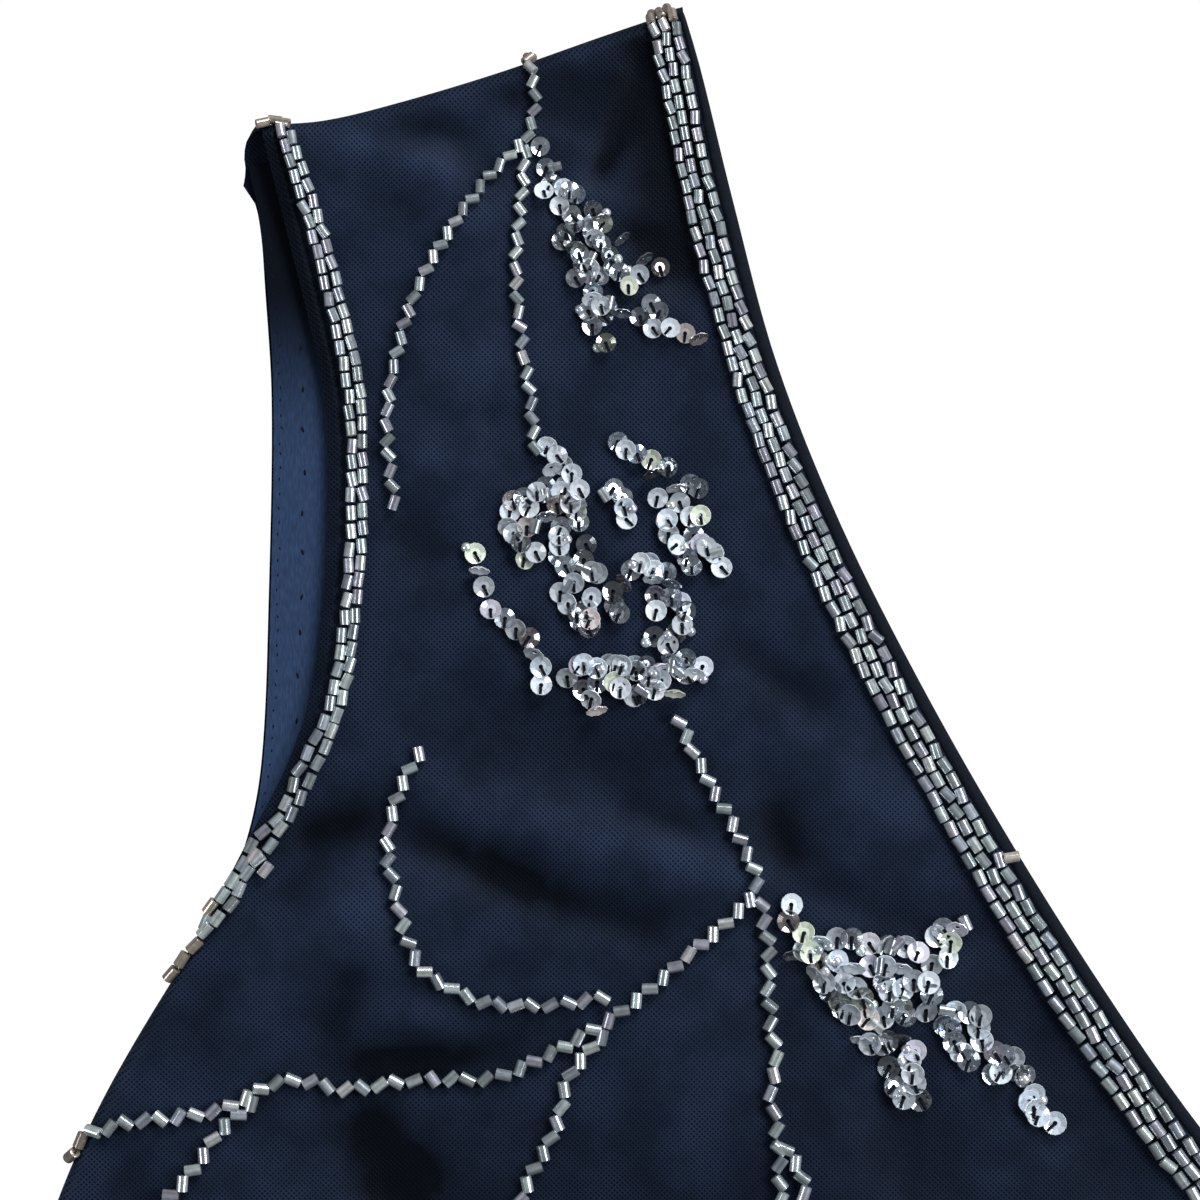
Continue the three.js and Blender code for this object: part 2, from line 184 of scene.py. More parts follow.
# Soft folds of the front: x and depth of both ends, then width and height. The left half has x
# below zero, and a trough has its height below zero.
FOLDS = (
    (-197, 27, -161, 44, 11, 2.0), (-162, 36, -162, 84, 14, 1.2), (-118, 40, -92, 112, 10, -1.2),
    (-171, 146, -129, 150, 11, -1.3), (-220, 206, -173, 178, 13, 1.9),
    (-205, 222, -150, 204, 12, -1.4), (-232, 250, -150, 262, 16, 2.4),
    (-110, 205, -60, 300, 18, 1.8), (196, 36, 150, 58, 12, 1.8), (152, 60, 168, 132, 15, 1.4),
    (112, 70, 84, 140, 11, -1.2), (222, 214, 160, 186, 14, 2.2), (206, 236, 120, 226, 13, -1.5),
    (236, 268, 130, 276, 17, 2.0), (60, 214, 86, 330, 18, 1.6), (-228, 330, -120, 392, 20, 2.6),
    (-205, 410, -60, 420, 18, -1.6), (214, 352, 96, 404, 21, 2.8), (190, 446, 40, 430, 18, -1.5),
    (-150, 440, -196, 700, 24, 3.0), (-80, 470, -104, 820, 26, -1.7),
    (-20, 330, -34, 660, 22, 2.2), (44, 520, 60, 948, 25, 2.6), (128, 470, 150, 790, 26, -1.7),
    (188, 520, 214, 930, 24, 3.2), (-150, 760, -166, 950, 23, 2.4), (-40, 720, -52, 955, 20, 2.0),
    (236, 610, 244, 800, 18, 1.8), (-238, 690, -248, 900, 19, 2.0), (110, 840, 116, 955, 20, 1.8),
)

# Finer creases that lie over the folds, worked out from the photograph on the left half.
# They also set the painted shade and highlight of the cloth, darker in troughs and lighter on ridges.
CREASES = (
    (-191, 25.5, -182, 31, 3, 1.1), (-182, 31, -166, 35.5, 3, 1.1), (-187, 37, -172, 42, 4.5, -1.1),
    (-178, 23.8, -163, 27.5, 3, -1.3), (-158, 18, -153, 20, 3, -1.2), (-139, 12, -142, 28, 10, -1.6),
    (-129.5, 7, -129.5, 20, 2.2, -2.3), (-129.5, 20, -138.5, 36, 2.2, -2.3),
    (-123.5, 5, -121.5, 48, 9.5, -2.9), (-141, 38.5, -123, 45, 3, 0.8),
    (-134, 43.5, -116, 57, 5.5, -1.7), (-176, 91, -160, 97, 5, 0.7),
    (-166, 58, -162, 88, 7, 0.5), (-162, 82, -157, 84, 4, -1.1), (-178, 104, -168, 113, 5, -0.9),
    (-199, 167.5, -181, 163, 5.5, -2.4), (-172, 161, -156, 163.5, 5.5, 0.6),
    (-156, 163.5, -140, 168.5, 5.5, 0.7), (-140, 168.5, -108, 176.5, 5, 0.9),
    (-176, 166, -163, 171.5, 5.5, -1.8), (-163, 171.5, -148, 179, 5.5, -2.6),
    (-148, 179, -122, 186.5, 5.5, -1.9),
    (-165, 146, -118, 156, 9, -0.9), (-134, 160, -113, 168.5, 4, -0.9), (-103, 159, -97, 175, 6, -2.2),
    (-95, 177, -72, 185, 4.5, -1.1), (-112, 128, -92, 142, 4.5, -1.2), (-94, 150, -74, 166, 7, 0.7),
    (-203, 181, -194, 174, 3.5, -1.1), (-213, 192, -218, 214, 5, -1.1), (-188, 178, -182, 188, 6, 0.8),
    (-185, 193, -192, 209, 5, -1.7), (-181, 203, -168, 204, 4, 0.8), (-187, 213, -166, 212, 4, -2.8),
    (-166, 212, -150, 208, 4, -1.4), (-185, 221, -180, 231, 6, -1.8), (-180, 232, -173, 241, 8, -3.4),
    (-119, 199, -121, 240, 5, 0.6), (-100, 190, -97, 236, 6, -0.9), (-80, 215, -70, 240, 14, -0.9),
    (-232, 232, -226, 246, 6, -0.9), (-200, 256, -60, 256, 30, -1.1),
    (190, 27, 172, 36, 3.5, 1.1), (128, 14, 140, 40, 8, -1.5), (182, 120, 158, 98, 6, 0.9),
    (198, 169, 180, 161, 5, -2.0), (168, 150, 118, 170, 5.5, 0.8), (172, 164, 134, 178, 5.5, -2.1),
    (212, 194, 180, 182, 5, 0.9), (186, 206, 168, 240, 6, -1.6), (120, 36, 102, 92, 6, -1.2),
    (104, 128, 88, 150, 6, -1.2), (70, 190, 36, 244, 8, -1.1), (134, 212, 112, 250, 8, 0.8),
    (-62, 184, -28, 244, 8, -1.1), (-196, 300, -150, 330, 9, -1.3), (150, 320, 196, 300, 9, -1.2),
    (-60, 350, -90, 420, 10, 1.2), (-214, 500, -206, 640, 9, -1.5), (96, 560, 104, 700, 10, 1.2),
    (20, 640, 6, 800, 10, -1.4), (-118, 620, -126, 780, 10, 1.3), (160, 820, 168, 940, 10, -1.4),
    (-94, 860, -100, 950, 9, -1.4),
)


def smooth(value, start, end):
    t = np.clip((value - start) / (end - start), 0, 1)
    return t * t * (3 - 2 * t)


def read(rows, column, value):
    """Reads a column of a table against its first one, on a smooth curve through its rows."""
    x, y = next(iter(rows.values())), rows[column]
    slopes = np.empty(len(x))
    slopes[1:-1] = (y[2:] - y[:-2]) / (x[2:] - x[:-2])
    slopes[0] = (y[1] - y[0]) / (x[1] - x[0])
    slopes[-1] = (y[-1] - y[-2]) / (x[-1] - x[-2])
    i = np.searchsorted(x[1:-1], value)
    span = x[i + 1] - x[i]
    t = np.clip((value - x[i]) / span, 0, 1)
    rise = (y[i + 1] - y[i]) * t * t * (3 - 2 * t)
    return y[i] + rise + span * t * (1 - t) * ((1 - t) * slopes[i] - t * slopes[i + 1])


def slope_of(rows, depth):
    """How steeply an edge runs in or out with depth, measured over 1 mm."""
    low = np.maximum(depth - 0.5, rows["depth"][0])
    high = np.minimum(depth + 0.5, rows["depth"][-1])
    return (read(rows, "half", high) - read(rows, "half", low)) / (high - low)


NECK_TOP, V_DEPTH = NECK["depth"][0], NECK["depth"][-1]
SHOULDER_HALF, SHOULDER_DEPTH = SHOULDER["half"][-1], SHOULDER["depth"][-1]
SHOULDER_SLOPE = (SHOULDER_DEPTH - NECK_TOP) / (SHOULDER_HALF - SHOULDER["half"][0])
SHOULDER_COSINE = 1 / math.hypot(1, SHOULDER_SLOPE)


def neck_point(depth, inset):
    """Half and depth of cloth beside the neck edge, or straight below the foot of the V."""
    slope = float(slope_of(NECK, depth))
    length = math.hypot(1, slope)
    if depth >= V_DEPTH:
        return 0.0, V_DEPTH - inset * length / slope
    half = float(read(NECK, "half", depth))
    return half + inset / length, depth - inset * slope / length


def outer_point(outer, depth, inset):
    """Half and depth of cloth beside an armhole, or beside the side fold below it."""
    slope = float(slope_of(outer, depth))
    length = math.hypot(1, slope)
    half = float(read(outer, "half", depth))
    return half - inset / length, depth + inset * slope / length


def outer_distance(outer, half, depth):
    slope = slope_of(outer, depth)
    return (read(outer, "half", depth) - half) / np.hypot(1, slope)


def neck_distance(half, depth):
    slope = slope_of(NECK, depth)
    beside = (half - read(NECK, "half", depth)) / np.hypot(1, slope)
    return np.where(depth >= V_DEPTH, np.hypot(half, depth - V_DEPTH), beside)


def shoulder_distance(half, depth):
    return (depth - read(SHOULDER, "depth", half)) * SHOULDER_COSINE


def roll_drop(distance):
    """How far a rolled edge has turned from flat, at a distance in from the fold."""
    across = np.clip(ROLL_MIDDLE - distance, 0, ROLL_RADIUS)
    return ROLL_RADIUS - np.sqrt(ROLL_RADIUS**2 - across**2)


def settle(distance):
    return np.exp(-((np.maximum(distance - ROLL_MIDDLE, 0) / SETTLE_DISTANCE) ** 2))


def ridges(rows, x, depth):
    total = 0 * x
    for x1, depth1, x2, depth2, width, height in rows:
        run, fall = x2 - x1, depth2 - depth1
        t = np.clip(((x - x1) * run + (depth - depth1) * fall) / (run**2 + fall**2), 0, 1)
        away = np.hypot(x - x1 - t * run, depth - depth1 - t * fall)
        total = total + height * (1 - 0.6 * (2 * t - 1) ** 4) * np.exp(-((away / width) ** 2))
    return total


def side_roll(depth):
    return smooth(depth, SIDE_ROLL_FROM, SIDE_ROLL_TO)


def front_edges(x, depth):
    """Distances in from the front's outer edge, and from whichever edge is nearest."""
    half = np.abs(x)
    outer = outer_distance(FRONT_OUTER, half, depth)
    inner = np.minimum(shoulder_distance(half, depth), neck_distance(half, depth))
    return outer, np.minimum(outer, inner)


def front_folds(x, depth):
    """Height of the front's folds and creases, which fade out beside its edges."""
    outer, free = front_edges(x, depth)
    folds = smooth(free, CALM_TO, FOLDED_FROM) * ridges(FOLDS, x, depth)
    folds = folds + smooth(free, CREASED_FROM, CREASED_FULLY) * ridges(CREASES, x, depth)
    deepest = LINED_TROUGH + (DEEPEST_TROUGH - LINED_TROUGH) * smooth(outer, LINED_TO, UNLINED_FROM)
    groove = np.exp(-(((outer - GROOVE_DISTANCE) / GROOVE_WIDTH) ** 2)) * (1 - side_roll(depth))
    return np.where(folds < 0, deepest * np.tanh(folds / deepest), folds) - EDGE_GROOVE * groove


# How the cloth's painted shade and highlight are worked out from its creases and folds. The dark
# edge runs beside the armhole, darkest above a depth of 60 mm, and it ends where the side fold begins.
PAINTED_FOLD_SHADE = 0.18
SHADE_FROM, SHADE_FULLY = -1, 5
DARK_EDGE_WIDTH = 4.2
DARK_EDGE, DARK_EDGE_LOSS = 2.4, 1.1
DARK_EDGE_TO, LIGHT_EDGE_FROM = 60, 110
BACK_DARKNESS = 1.6
BACK_DARK_WIDTH = 10


def front_painted_shade(x, depth):
    """Painted shade and highlight from the front's fine creases and a little of its folds, and its dark
    edge.
    """
    outer, free = front_edges(x, depth)
    fine = smooth(free, SHADE_FROM, SHADE_FULLY) * ridges(CREASES, x, depth)
    edge = (1 - side_roll(depth)) * np.exp(-((outer / DARK_EDGE_WIDTH) ** 4))
    darkest = DARK_EDGE - DARK_EDGE_LOSS * smooth(depth, DARK_EDGE_TO, LIGHT_EDGE_FROM)
    return fine + PAINTED_FOLD_SHADE * ridges(FOLDS, x, depth) - darkest * edge


def back_painted_shade(x, depth):
    """Painted shade on the back beside the armholes, where it lies in the front's shade."""
    outer = outer_distance(BACK_OUTER, np.abs(x), depth)
    return -BACK_DARKNESS * (1 - side_roll(depth)) * np.exp(-((outer / BACK_DARK_WIDTH) ** 2))


def front_height(x, depth):
    """Height of the middle of the front cloth over a place on the surface."""
    half = np.abs(x)
    outer = outer_distance(FRONT_OUTER, half, depth)
    shoulder = shoulder_distance(half, depth)
    rolled = side_roll(depth)
    raised = np.maximum(settle(shoulder), rolled * settle(outer))
    rest = FRONT_REST + (ROLL_TOP - FRONT_REST) * raised
    return rest + front_folds(x, depth) - roll_drop(shoulder) - rolled * roll_drop(outer)


def back_height(x, depth):
    """Height of the middle of the back cloth, flat between its rolled edges."""
    half = np.abs(x)
    outer = outer_distance(BACK_OUTER, half, depth)
    shoulder = shoulder_distance(half, depth)
    return CLOTH / 2 + roll_drop(shoulder) + side_roll(depth) * roll_drop(outer)


def binding_width(depth):
    full = smooth(depth, 0, BINDING_FULL_DEPTH)
    return BINDING_WIDTH_TOP + (BINDING_WIDTH - BINDING_WIDTH_TOP) * full


ROLL_STEPS = CLOTH / 2 + ROLL_RADIUS * (1 - np.cos(np.radians(ROLL_ANGLES)))
V_SHIFT = V_DEPTH - NECK_TOP


def bodice_shifts(step):
    """Distances down from the shoulder fold to each row of the bodice, down to the V."""
    rolled = ROLL_STEPS / SHOULDER_COSINE
    count = round((V_SHIFT - rolled[-1]) / step)
    return np.concatenate([rolled, np.linspace(rolled[-1], V_SHIFT, count + 1)[1:]])


def outer_depth(shift):
    """Depth of a bodice row's outer end. Rows follow the shoulder and level out at the V."""
    foot = neck_point(V_DEPTH, BINDING_WIDTH + SEAM_GAP)[1]
    levelling = SHOULDER_DEPTH + V_SHIFT - foot
    return SHOULDER_DEPTH + shift - levelling * (shift / V_SHIFT) ** 2


def bodice_row(outer, shift, seam=SEAM_GAP):
    depth = min(NECK_TOP + shift, V_DEPTH)
    inner = neck_point(depth, binding_width(depth) + seam)
    dip = 1 - smooth(shift, 0, DIP_LENGTH)
    return {"inner": inner, "outer": outer_point(outer, outer_depth(shift), 0), "dip": dip, "bow": 1}


def row_place(row, distance):
    """Half and depth in a row, at distances in from its outer end."""
    (inner_half, inner_depth), (outer_half, row_depth) = row["inner"], row["outer"]
    t = distance / (outer_half - inner_half)
    line = SHOULDER_DEPTH + (NECK_TOP - SHOULDER_DEPTH) * t
    fold_half = SHOULDER_HALF + (SHOULDER["half"][0] - SHOULDER_HALF) * t
    dip = (read(SHOULDER, "depth", fold_half) - line) * row["dip"]
    rise = (inner_depth - row_depth) * (1 - t) ** row["bow"]
    return outer_half - distance, inner_depth - rise + dip


def steepness(outer, depth):
    return math.hypot(1, float(slope_of(outer, depth)))


def panel_rows(outer, height, bodice_step, skirt_step, columns, seam=SEAM_GAP):
    """Rows of points x, depth and height of a panel, from its left edge to its right."""
    rows = [bodice_row(outer, shift, seam) for shift in bodice_shifts(bodice_step)]
    foot = rows[-1]["inner"][1]
    for depth in np.linspace(foot, DRESS_LENGTH, round((DRESS_LENGTH - foot) / skirt_step) + 1)[1:]:
        side = depth - HEM_RISE * float(smooth(depth, foot, DRESS_LENGTH))
        rows.append({"inner": (0, depth), "outer": outer_point(outer, side, 0), "dip": 0, "bow": 2})
    grid = []
    for row in rows:
        depth = row["outer"][1]
        steps = ROLL_STEPS * steepness(outer, depth)
        steps[0] *= side_roll(depth)
        width = row["outer"][0] - row["inner"][0]
        steps = np.concatenate([steps, np.linspace(steps[-1], width, columns + 1)[1:]])
        half, depths = row_place(row, steps)
        x = np.concatenate([-half, half[::-1]])
        depths = np.concatenate([depths, depths[::-1]])
        grid.append(np.stack([x, depths, height(x, depths)], axis=1))
    return np.array(grid)


def add_piece(name, mesh):
    piece = bpy.data.objects.new(name, mesh)
    bpy.context.scene.collection.objects.link(piece)
    return piece


def cloth_from_rows(name, grid, notch=None, shade=None):
    """A sheet on rows of points in millimetres, with its flat place as its UV map."""
    count, across = grid.shape[:2]
    corners = np.arange(count * across).reshape(count, across)
    quads = np.stack([corners[:-1, :-1], corners[1:, :-1], corners[1:, 1:], corners[:-1, 1:]], axis=2)
    if notch is not None:
        quads = np.delete(quads, notch, axis=1)
    points = grid.reshape(-1, 3)
    places = np.stack([points[:, 0] * MM, SHOULDER_TOP - points[:, 1] * MM, points[:, 2] * MM], axis=1)
    mesh = bpy.data.meshes.new(name)
    mesh.from_pydata(places.tolist(), [], quads.reshape(-1, 4).tolist())
    flat = mesh.uv_layers.new(name="flat_mm")
    vertex_of = np.empty(len(mesh.loops), int)
    mesh.loops.foreach_get("vertex_index", vertex_of)
    flat.data.foreach_set("uv", points[vertex_of, :2].ravel())
    if shade is not None:
        shades = mesh.attributes.new("shade", "FLOAT", "POINT")
        shades.data.foreach_set("value", shade(points[:, 0], points[:, 1]))
    form = bmesh.new()
    form.from_mesh(mesh)
    bmesh.ops.remove_doubles(form, verts=form.verts, dist=1e-6)
    form.to_mesh(mesh)
    form.free()
    return add_piece(name, mesh)


def deselect_all():
    bpy.ops.object.select_all(action="DESELECT")


def select_only(piece):
    deselect_all()
    piece.select_set(True)
    bpy.context.view_layer.objects.active = piece


def thicken(piece, thickness, offset):
    """Gives a sheet its wall and smooth shading."""
    select_only(piece)
    wall = piece.modifiers.new("wall", "SOLIDIFY")
    wall.thickness = thickness * MM
    wall.offset = offset
    bpy.ops.object.modifier_apply(modifier=wall.name)
    bpy.ops.object.shade_smooth_by_angle(angle=math.radians(50))


def plan_area(grid, notch=None):
    """Flat area of a panel in square metres, from its rows."""
    x, depth = grid[..., 0] * MM, grid[..., 1] * MM
    across, down = np.diff(x, axis=1)[:-1], np.diff(depth, axis=0)[:, :-1]
    if notch is not None:
        across, down = np.delete(across, notch, 1), np.delete(down, notch, 1)
    return float(np.abs(across * down).sum())


def make_panel(name, rows, thickness, offset, shade):
    """A whole panel, open at the V, and its flat area."""
    notch = rows.shape[1] // 2 - 1
    panel = cloth_from_rows(name, rows, notch, shade)
    thicken(panel, thickness, offset)
    return panel, plan_area(rows, notch)


def finish_piece(piece, material, slot_name, *replaced):
    """Gives a piece its material, and says which solids it takes the place of."""
    piece.data.materials.append(material)
    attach(piece, "root")
    if replaced:
        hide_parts(*replaced)


def noise(material, place, scale, detail):
    inputs = {"Vector": place, "Scale": scale, "Detail": detail}
    return add_node(material, "TexNoise", inputs).outputs["Fac"]


def map_range(material, value, from_min, from_max, to_min=0.0, to_max=1.0, **settings):
    inputs = {"Value": value, "From Min": from_min, "From Max": from_max,
              "To Min": to_min, "To Max": to_max}
    return add_node(material, "MapRange", inputs, **settings).outputs[0]


def blend(material, share, low, high, kind="MIX"):
    """A blend of two colours, each a hex code or a socket."""
    low, high = (colour(c) if isinstance(c, str) else c for c in (low, high))
    inputs = {0: share, 6: low, 7: high}
    return add_node(material, "Mix", inputs, data_type="RGBA", blend_type=kind).outputs[2]


def bump(material, height, strength, distance, over=None):
    """A bump of the surface, over another one if that is given."""
    inputs = {"Height": height, "Strength": strength, "Distance": distance}
    if over is not None:
        inputs["Normal"] = over
    return add_node(material, "Bump", inputs).outputs[0]


def add_shader(material, inputs):
    """Adds the surface's shader and output, and returns the material."""
    shader = add_node(material, "BsdfPrincipled", inputs)
    add_node(material, "OutputMaterial", {"Surface": shader.outputs[0]})
    return material


# Knitted polyester net over woven polyester satin, dyed alike. The threads of the net stand a
# little lighter than the satin in its diamond holes, which are 1 mm apart across the cloth and
# 0.53 mm down it, every other row between the holes of the last. Painted highlight lies on the
# ridges of the creases and painted shade in their troughs, as in a deep satin under a veil.
NET_PITCH = 0.727
NET_ANGLE = 46.7


def net_over_satin_material():
    material = new_material("net_over_satin")
    flat = add_node(material, "UVMap", uv_map="flat_mm").outputs[0]
    threads = []
    for angle in (NET_ANGLE, -NET_ANGLE):
        turned = add_node(material, "Mapping", {"Vector": flat, "Rotation": (0, 0, math.radians(angle))})
        wave = add_node(
            material, "TexWave",
            {"Vector": turned.outputs[0], "Scale": 2 * math.pi / (20 * NET_PITCH), "Distortion": 1.7,
             "Detail": 1.5, "Detail Scale": 0.5},
            wave_type="BANDS", bands_direction="X", wave_profile="SIN",
        )
        threads.append(wave.outputs["Fac"])
    mesh = add_node(material, "Math", {0: threads[0], 1: threads[1]}, operation="MAXIMUM").outputs[0]
    net = map_range(material, mesh, 0.4, 0.95)
    shown = map_range(material, noise(material, flat, 0.09, 3.0), 0.38, 0.62, 0.45)
    strength = add_node(material, "Math", {0: net, 1: shown}, operation="MULTIPLY").outputs[0]
    cloth = blend(material, strength, "#0a101b", "#222d43")
    # The shade attribute is painted shade and highlight, multiplied into the cloth's colour.
    shade = add_node(material, "Attribute", attribute_name="shade").outputs["Fac"]
    painted_shaded_cloth = blend(material, 1.0, cloth, map_range(material, shade, -2.2, 1.5, 0.1, 1.55), "MULTIPLY")
    drape = bump(material, noise(material, flat, 0.07, 2.0), 0.2, 0.002)
    return add_shader(material, {
        "Base Color": painted_shaded_cloth, "Roughness": 0.46, "Specular IOR Level": 0.13,
        "Specular Tint": colour("#b9cdf5"), "Normal": bump(material, net, 0.25, 0.0002, drape),
    })


net_over_satin = net_over_satin_material()
front_rows = panel_rows(FRONT_OUTER, front_height, 1.8, 8, 74)
front_cloth, front_area = make_panel("front_cloth", front_rows, SHELL, 0.5, front_painted_shade)
finish_piece(front_cloth, net_over_satin, "net_over_satin", "front_panel")

# Back
# The same cloth as the front, lying on the surface. Its armhole edge stands a little outside
# the front's, and its rolled edges meet the front's at the side and shoulder folds.
back_rows = panel_rows(BACK_OUTER, back_height, 1.8, 12, 40, BACK_NECK_GAP)
back_cloth, back_area = make_panel("back_cloth", back_rows, CLOTH, 0, back_painted_shade)
finish_piece(back_cloth, net_over_satin, "net_over_satin", "back_panel")

# Back lining
# Plain navy satin inside the back, seen through the armholes. It is understitched to the
# back beside the armhole edge, with small dark prick stitches.
LINING = 1.0
LINING_EDGE = 0.5
LINING_WIDTH = 30
LINING_FROM = SHOULDER_DEPTH + 8
LINING_TO = 172
LINING_OUTER = table("depth half", [(24.8, 205), (32, 208), (40, 206.4), *BACK_ARMHOLE])


def lining_rows(side):
    rows = []
    for depth in np.linspace(LINING_FROM, LINING_TO, 60):
        insets = np.linspace(LINING_EDGE, LINING_WIDTH, 12)
        half, depths = np.array([outer_point(LINING_OUTER, depth, inset) for inset in insets]).T
        x = side * half
        lifted = back_height(x, depths) + CLOTH / 2 + SEAM_GAP + LINING / 2
        row = np.stack([x, depths, lifted], axis=1)
        rows.append(row if side < 0 else row[::-1])
    return np.array(rows)


# Woven polyester satin, whose long warp floats show as a fine grain along the dress, with a soft
# gloss. Its top is painted darker, as painted shade of the shoulder.
def lining_satin_material():
    material = new_material("lining_satin")
    flat = add_node(material, "UVMap", uv_map="flat_mm").outputs[0]
    grain_place = add_node(material, "Mapping", {"Vector": flat, "Scale": (2.6, 0.45, 1)}).outputs[0]
    grain = noise(material, grain_place, 1.0, 4.0)
    depth = add_node(material, "SeparateXYZ", {0: flat}).outputs["Y"]
    # Painted shade of the shoulder: nearly black above a depth of 56 mm, fading out by 94 mm.
    out_of_painted_shade = map_range(material, depth, 56.0, 94.0, interpolation_type="SMOOTHSTEP")
    cloth = blend(material, out_of_painted_shade, "#060b16", blend(material, grain, "#152139", "#394e71"))
    return add_shader(material, {
        "Base Color": cloth, "Roughness": 0.55, "Specular IOR Level": 0.06,
        "Normal": bump(material, grain, 0.25, 0.0002),
    })


lining_satin = lining_satin_material()
for side_name, side in SIDES:
    rows = lining_rows(side)
    lining = cloth_from_rows("lining_" + side_name, rows)
    thicken(lining, LINING, 0)
    finish_piece(lining, lining_satin, "lining_satin", "back_lining_" + side_name)
    plan_area(rows)

# Neck binding
# A narrow strip of dark cloth, folded over the raw neck edge and stitched down flat. It runs
# down one side of the V and up the other, on the front and on the back.
BINDING_THICKNESS = 1.6
BINDING_EDGE_THICKNESS = 0.8


def binding_rows(height, thickest, gap):
    """Upper face of the binding, from the left shoulder to the right one, out to its panel."""
    profile = ((1, BINDING_EDGE_THICKNESS), (0.86, 0.9 * thickest), (0.6, thickest), (0.3, thickest),
               (0.1, 0.85 * thickest), (0, BINDING_EDGE_THICKNESS))
    sides = []
    for side in (-1, 1):
        rows = []
        for shift in bodice_shifts(4):
            depth = min(NECK_TOP + shift, V_DEPTH)
            row = []
            for part, thickness in profile:
                half, place = neck_point(depth, part * (binding_width(depth) + gap - NECK_SEAM))
                row.append((side * half, place, height(side * half, place) + thickness / 2))
            rows.append(row)
        sides.append(rows)
    return np.array(sides[0] + sides[1][::-1][1:], float)


# Woven polyester lining cloth, cut on the bias, folded and pressed: dull and nearly black, with a
# weave too fine to show, drawn here at 0.5 mm.
def binding_material():
    material = new_material("binding_cloth")
    place = add_node(material, "TexCoord").outputs["Object"]
    weave = noise(material, place, 2000.0, 2.0)
    return add_shader(material, {
        "Base Color": blend(material, weave, "#05080e", "#151c2a"), "Roughness": 0.75,
        "Specular IOR Level": 0.12, "Normal": bump(material, weave, 0.4, 0.0002),
    })


# The back's seam lies further out than the front's, so the surface below doesn't show through both.
binding_cloth = binding_material()
for face, height, thickest, gap in (
    ("front", front_height, BINDING_THICKNESS, SEAM_GAP), ("back", back_height, CLOTH, BACK_NECK_GAP),
):
    binding = cloth_from_rows("binding_" + face, binding_rows(height, thickest, gap))
    thicken(binding, CLOTH, -1)
    finish_piece(binding, binding_cloth, "binding", "neck_binding_" + face)

# Bead trims
# Silver-lined glass bugle beads, about 2 mm thick and 2.5 mm long, sewn end to end in staggered
# rows: three beside the neck and two beside each armhole. They turn over the shoulder fold, and
# they are larger and farther apart lower down.
BUGLE_RADIUS = 0.93
BUGLE_LENGTH = 2.45
BUGLE_BORE = 0.4
BEAD_PITCH = 3.04
BEAD_ROW_WIDTH = 2.2
BEAD_ROW_SPREAD = 1.25
SPREAD_FULL_DEPTH = 220
ARMHOLE_ROWS = table("depth outer inner", [
    (24.8, 3.9, 5.3), (34, 4.3, 6.0), (46, 4.8, 6.9), (90, 4.6, 6.9), (140, 4.6, 6.7), (156, 3.5, 5.7),
    (164, 2.5, 5.2), (169, 1.3, 4.8), (172, 1.4, 4.4), (176, 1.2, 3.6), (179, 1.0, 3.0), (182, 0.7, 2.4),
    (185, 0.3, 1.9), (190, 0.2, 1.4), (197, 0.2, 0.7),
])
ARMHOLE_ROW_ENDS = (186.5, 195.5)
TURN_BEADS = ((204.4, 1.1, -0.5), (202.3, 0.7, 0.1), (200.2, 1.2, 0.6))
TURN_LIFT = CLOTH / 2 + 0.95


def bead_size(depth):
    return 1 + (BEAD_ROW_SPREAD - 1) * np.clip(depth / SPREAD_FULL_DEPTH, 0, 1)


def mesh_as_arrays(piece):
    """A modelled piece's points in millimetres and its faces. The piece is then removed."""
    bpy.ops.object.transform_apply()
    points = np.array([v.co for v in piece.data.vertices]) / MM
    faces = [list(p.vertices) for p in piece.data.polygons]
    bpy.data.objects.remove(piece)
    return points, faces


def select_where(piece, parts, test):
    """Selects the vertices or polygons of a piece that pass a test, in edit mode."""
    bpy.ops.object.mode_set(mode="OBJECT")
    bpy.context.tool_settings.mesh_select_mode = (parts == "vertices", False, parts == "polygons")
    for part in (*piece.data.vertices, *piece.data.edges, *piece.data.polygons):
        part.select = False
    for part in getattr(piece.data, parts):
        part.select = test(part)
    bpy.ops.object.mode_set(mode="EDIT")


def model_bugle():
    """A short glass tube along Y, with rounded rims and an open bore."""
    deselect_all()
    bpy.ops.mesh.primitive_cylinder_add(
        vertices=12, radius=BUGLE_RADIUS * MM, depth=BUGLE_LENGTH * MM, rotation=(math.pi / 2, 0, 0)
    )
    bugle = bpy.context.object
    bpy.ops.object.transform_apply()
    select_where(bugle, "polygons", lambda face: abs(face.normal.y) > 0.9)
    bpy.ops.mesh.inset(thickness=0.16 * MM, depth=0.1 * MM)
    bpy.ops.mesh.inset(thickness=(BUGLE_RADIUS - BUGLE_BORE - 0.16) * MM, depth=0)
    bpy.ops.mesh.inset(thickness=0.01 * MM, depth=-0.7 * MM)
    bpy.ops.object.mode_set(mode="OBJECT")
    return mesh_as_arrays(bugle)


def copies(name, source, places, tones, smooth_angle=40, painted_stripes=1.0):
    """Copies of a modelled piece in one mesh, each with its place, tone and painted stripes."""
    points, faces = source
    turns = np.array([place.to_3x3() for place in places])
    moves = np.array([place.translation for place in places])
    all_points = np.einsum("nij,vj->nvi", turns, points) + moves[:, None]
    all_tones = np.repeat(np.array(tones, float)[:, None], len(points), axis=1)
    all_tones[..., :3] *= np.reshape(painted_stripes, (1, -1, 1))
    mesh = bpy.data.meshes.new(name)
    all_faces = [[v + i * len(points) for v in face] for i in range(len(places)) for face in faces]
    mesh.from_pydata((all_points.reshape(-1, 3) * MM).tolist(), [], all_faces)
    tone_layer = mesh.attributes.new("tone", "FLOAT_COLOR", "POINT")
    tone_layer.data.foreach_set("color", all_tones.ravel())
    piece = add_piece(name, mesh)
    select_only(piece)
    bpy.ops.object.shade_smooth_by_angle(angle=math.radians(smooth_angle))
    return piece


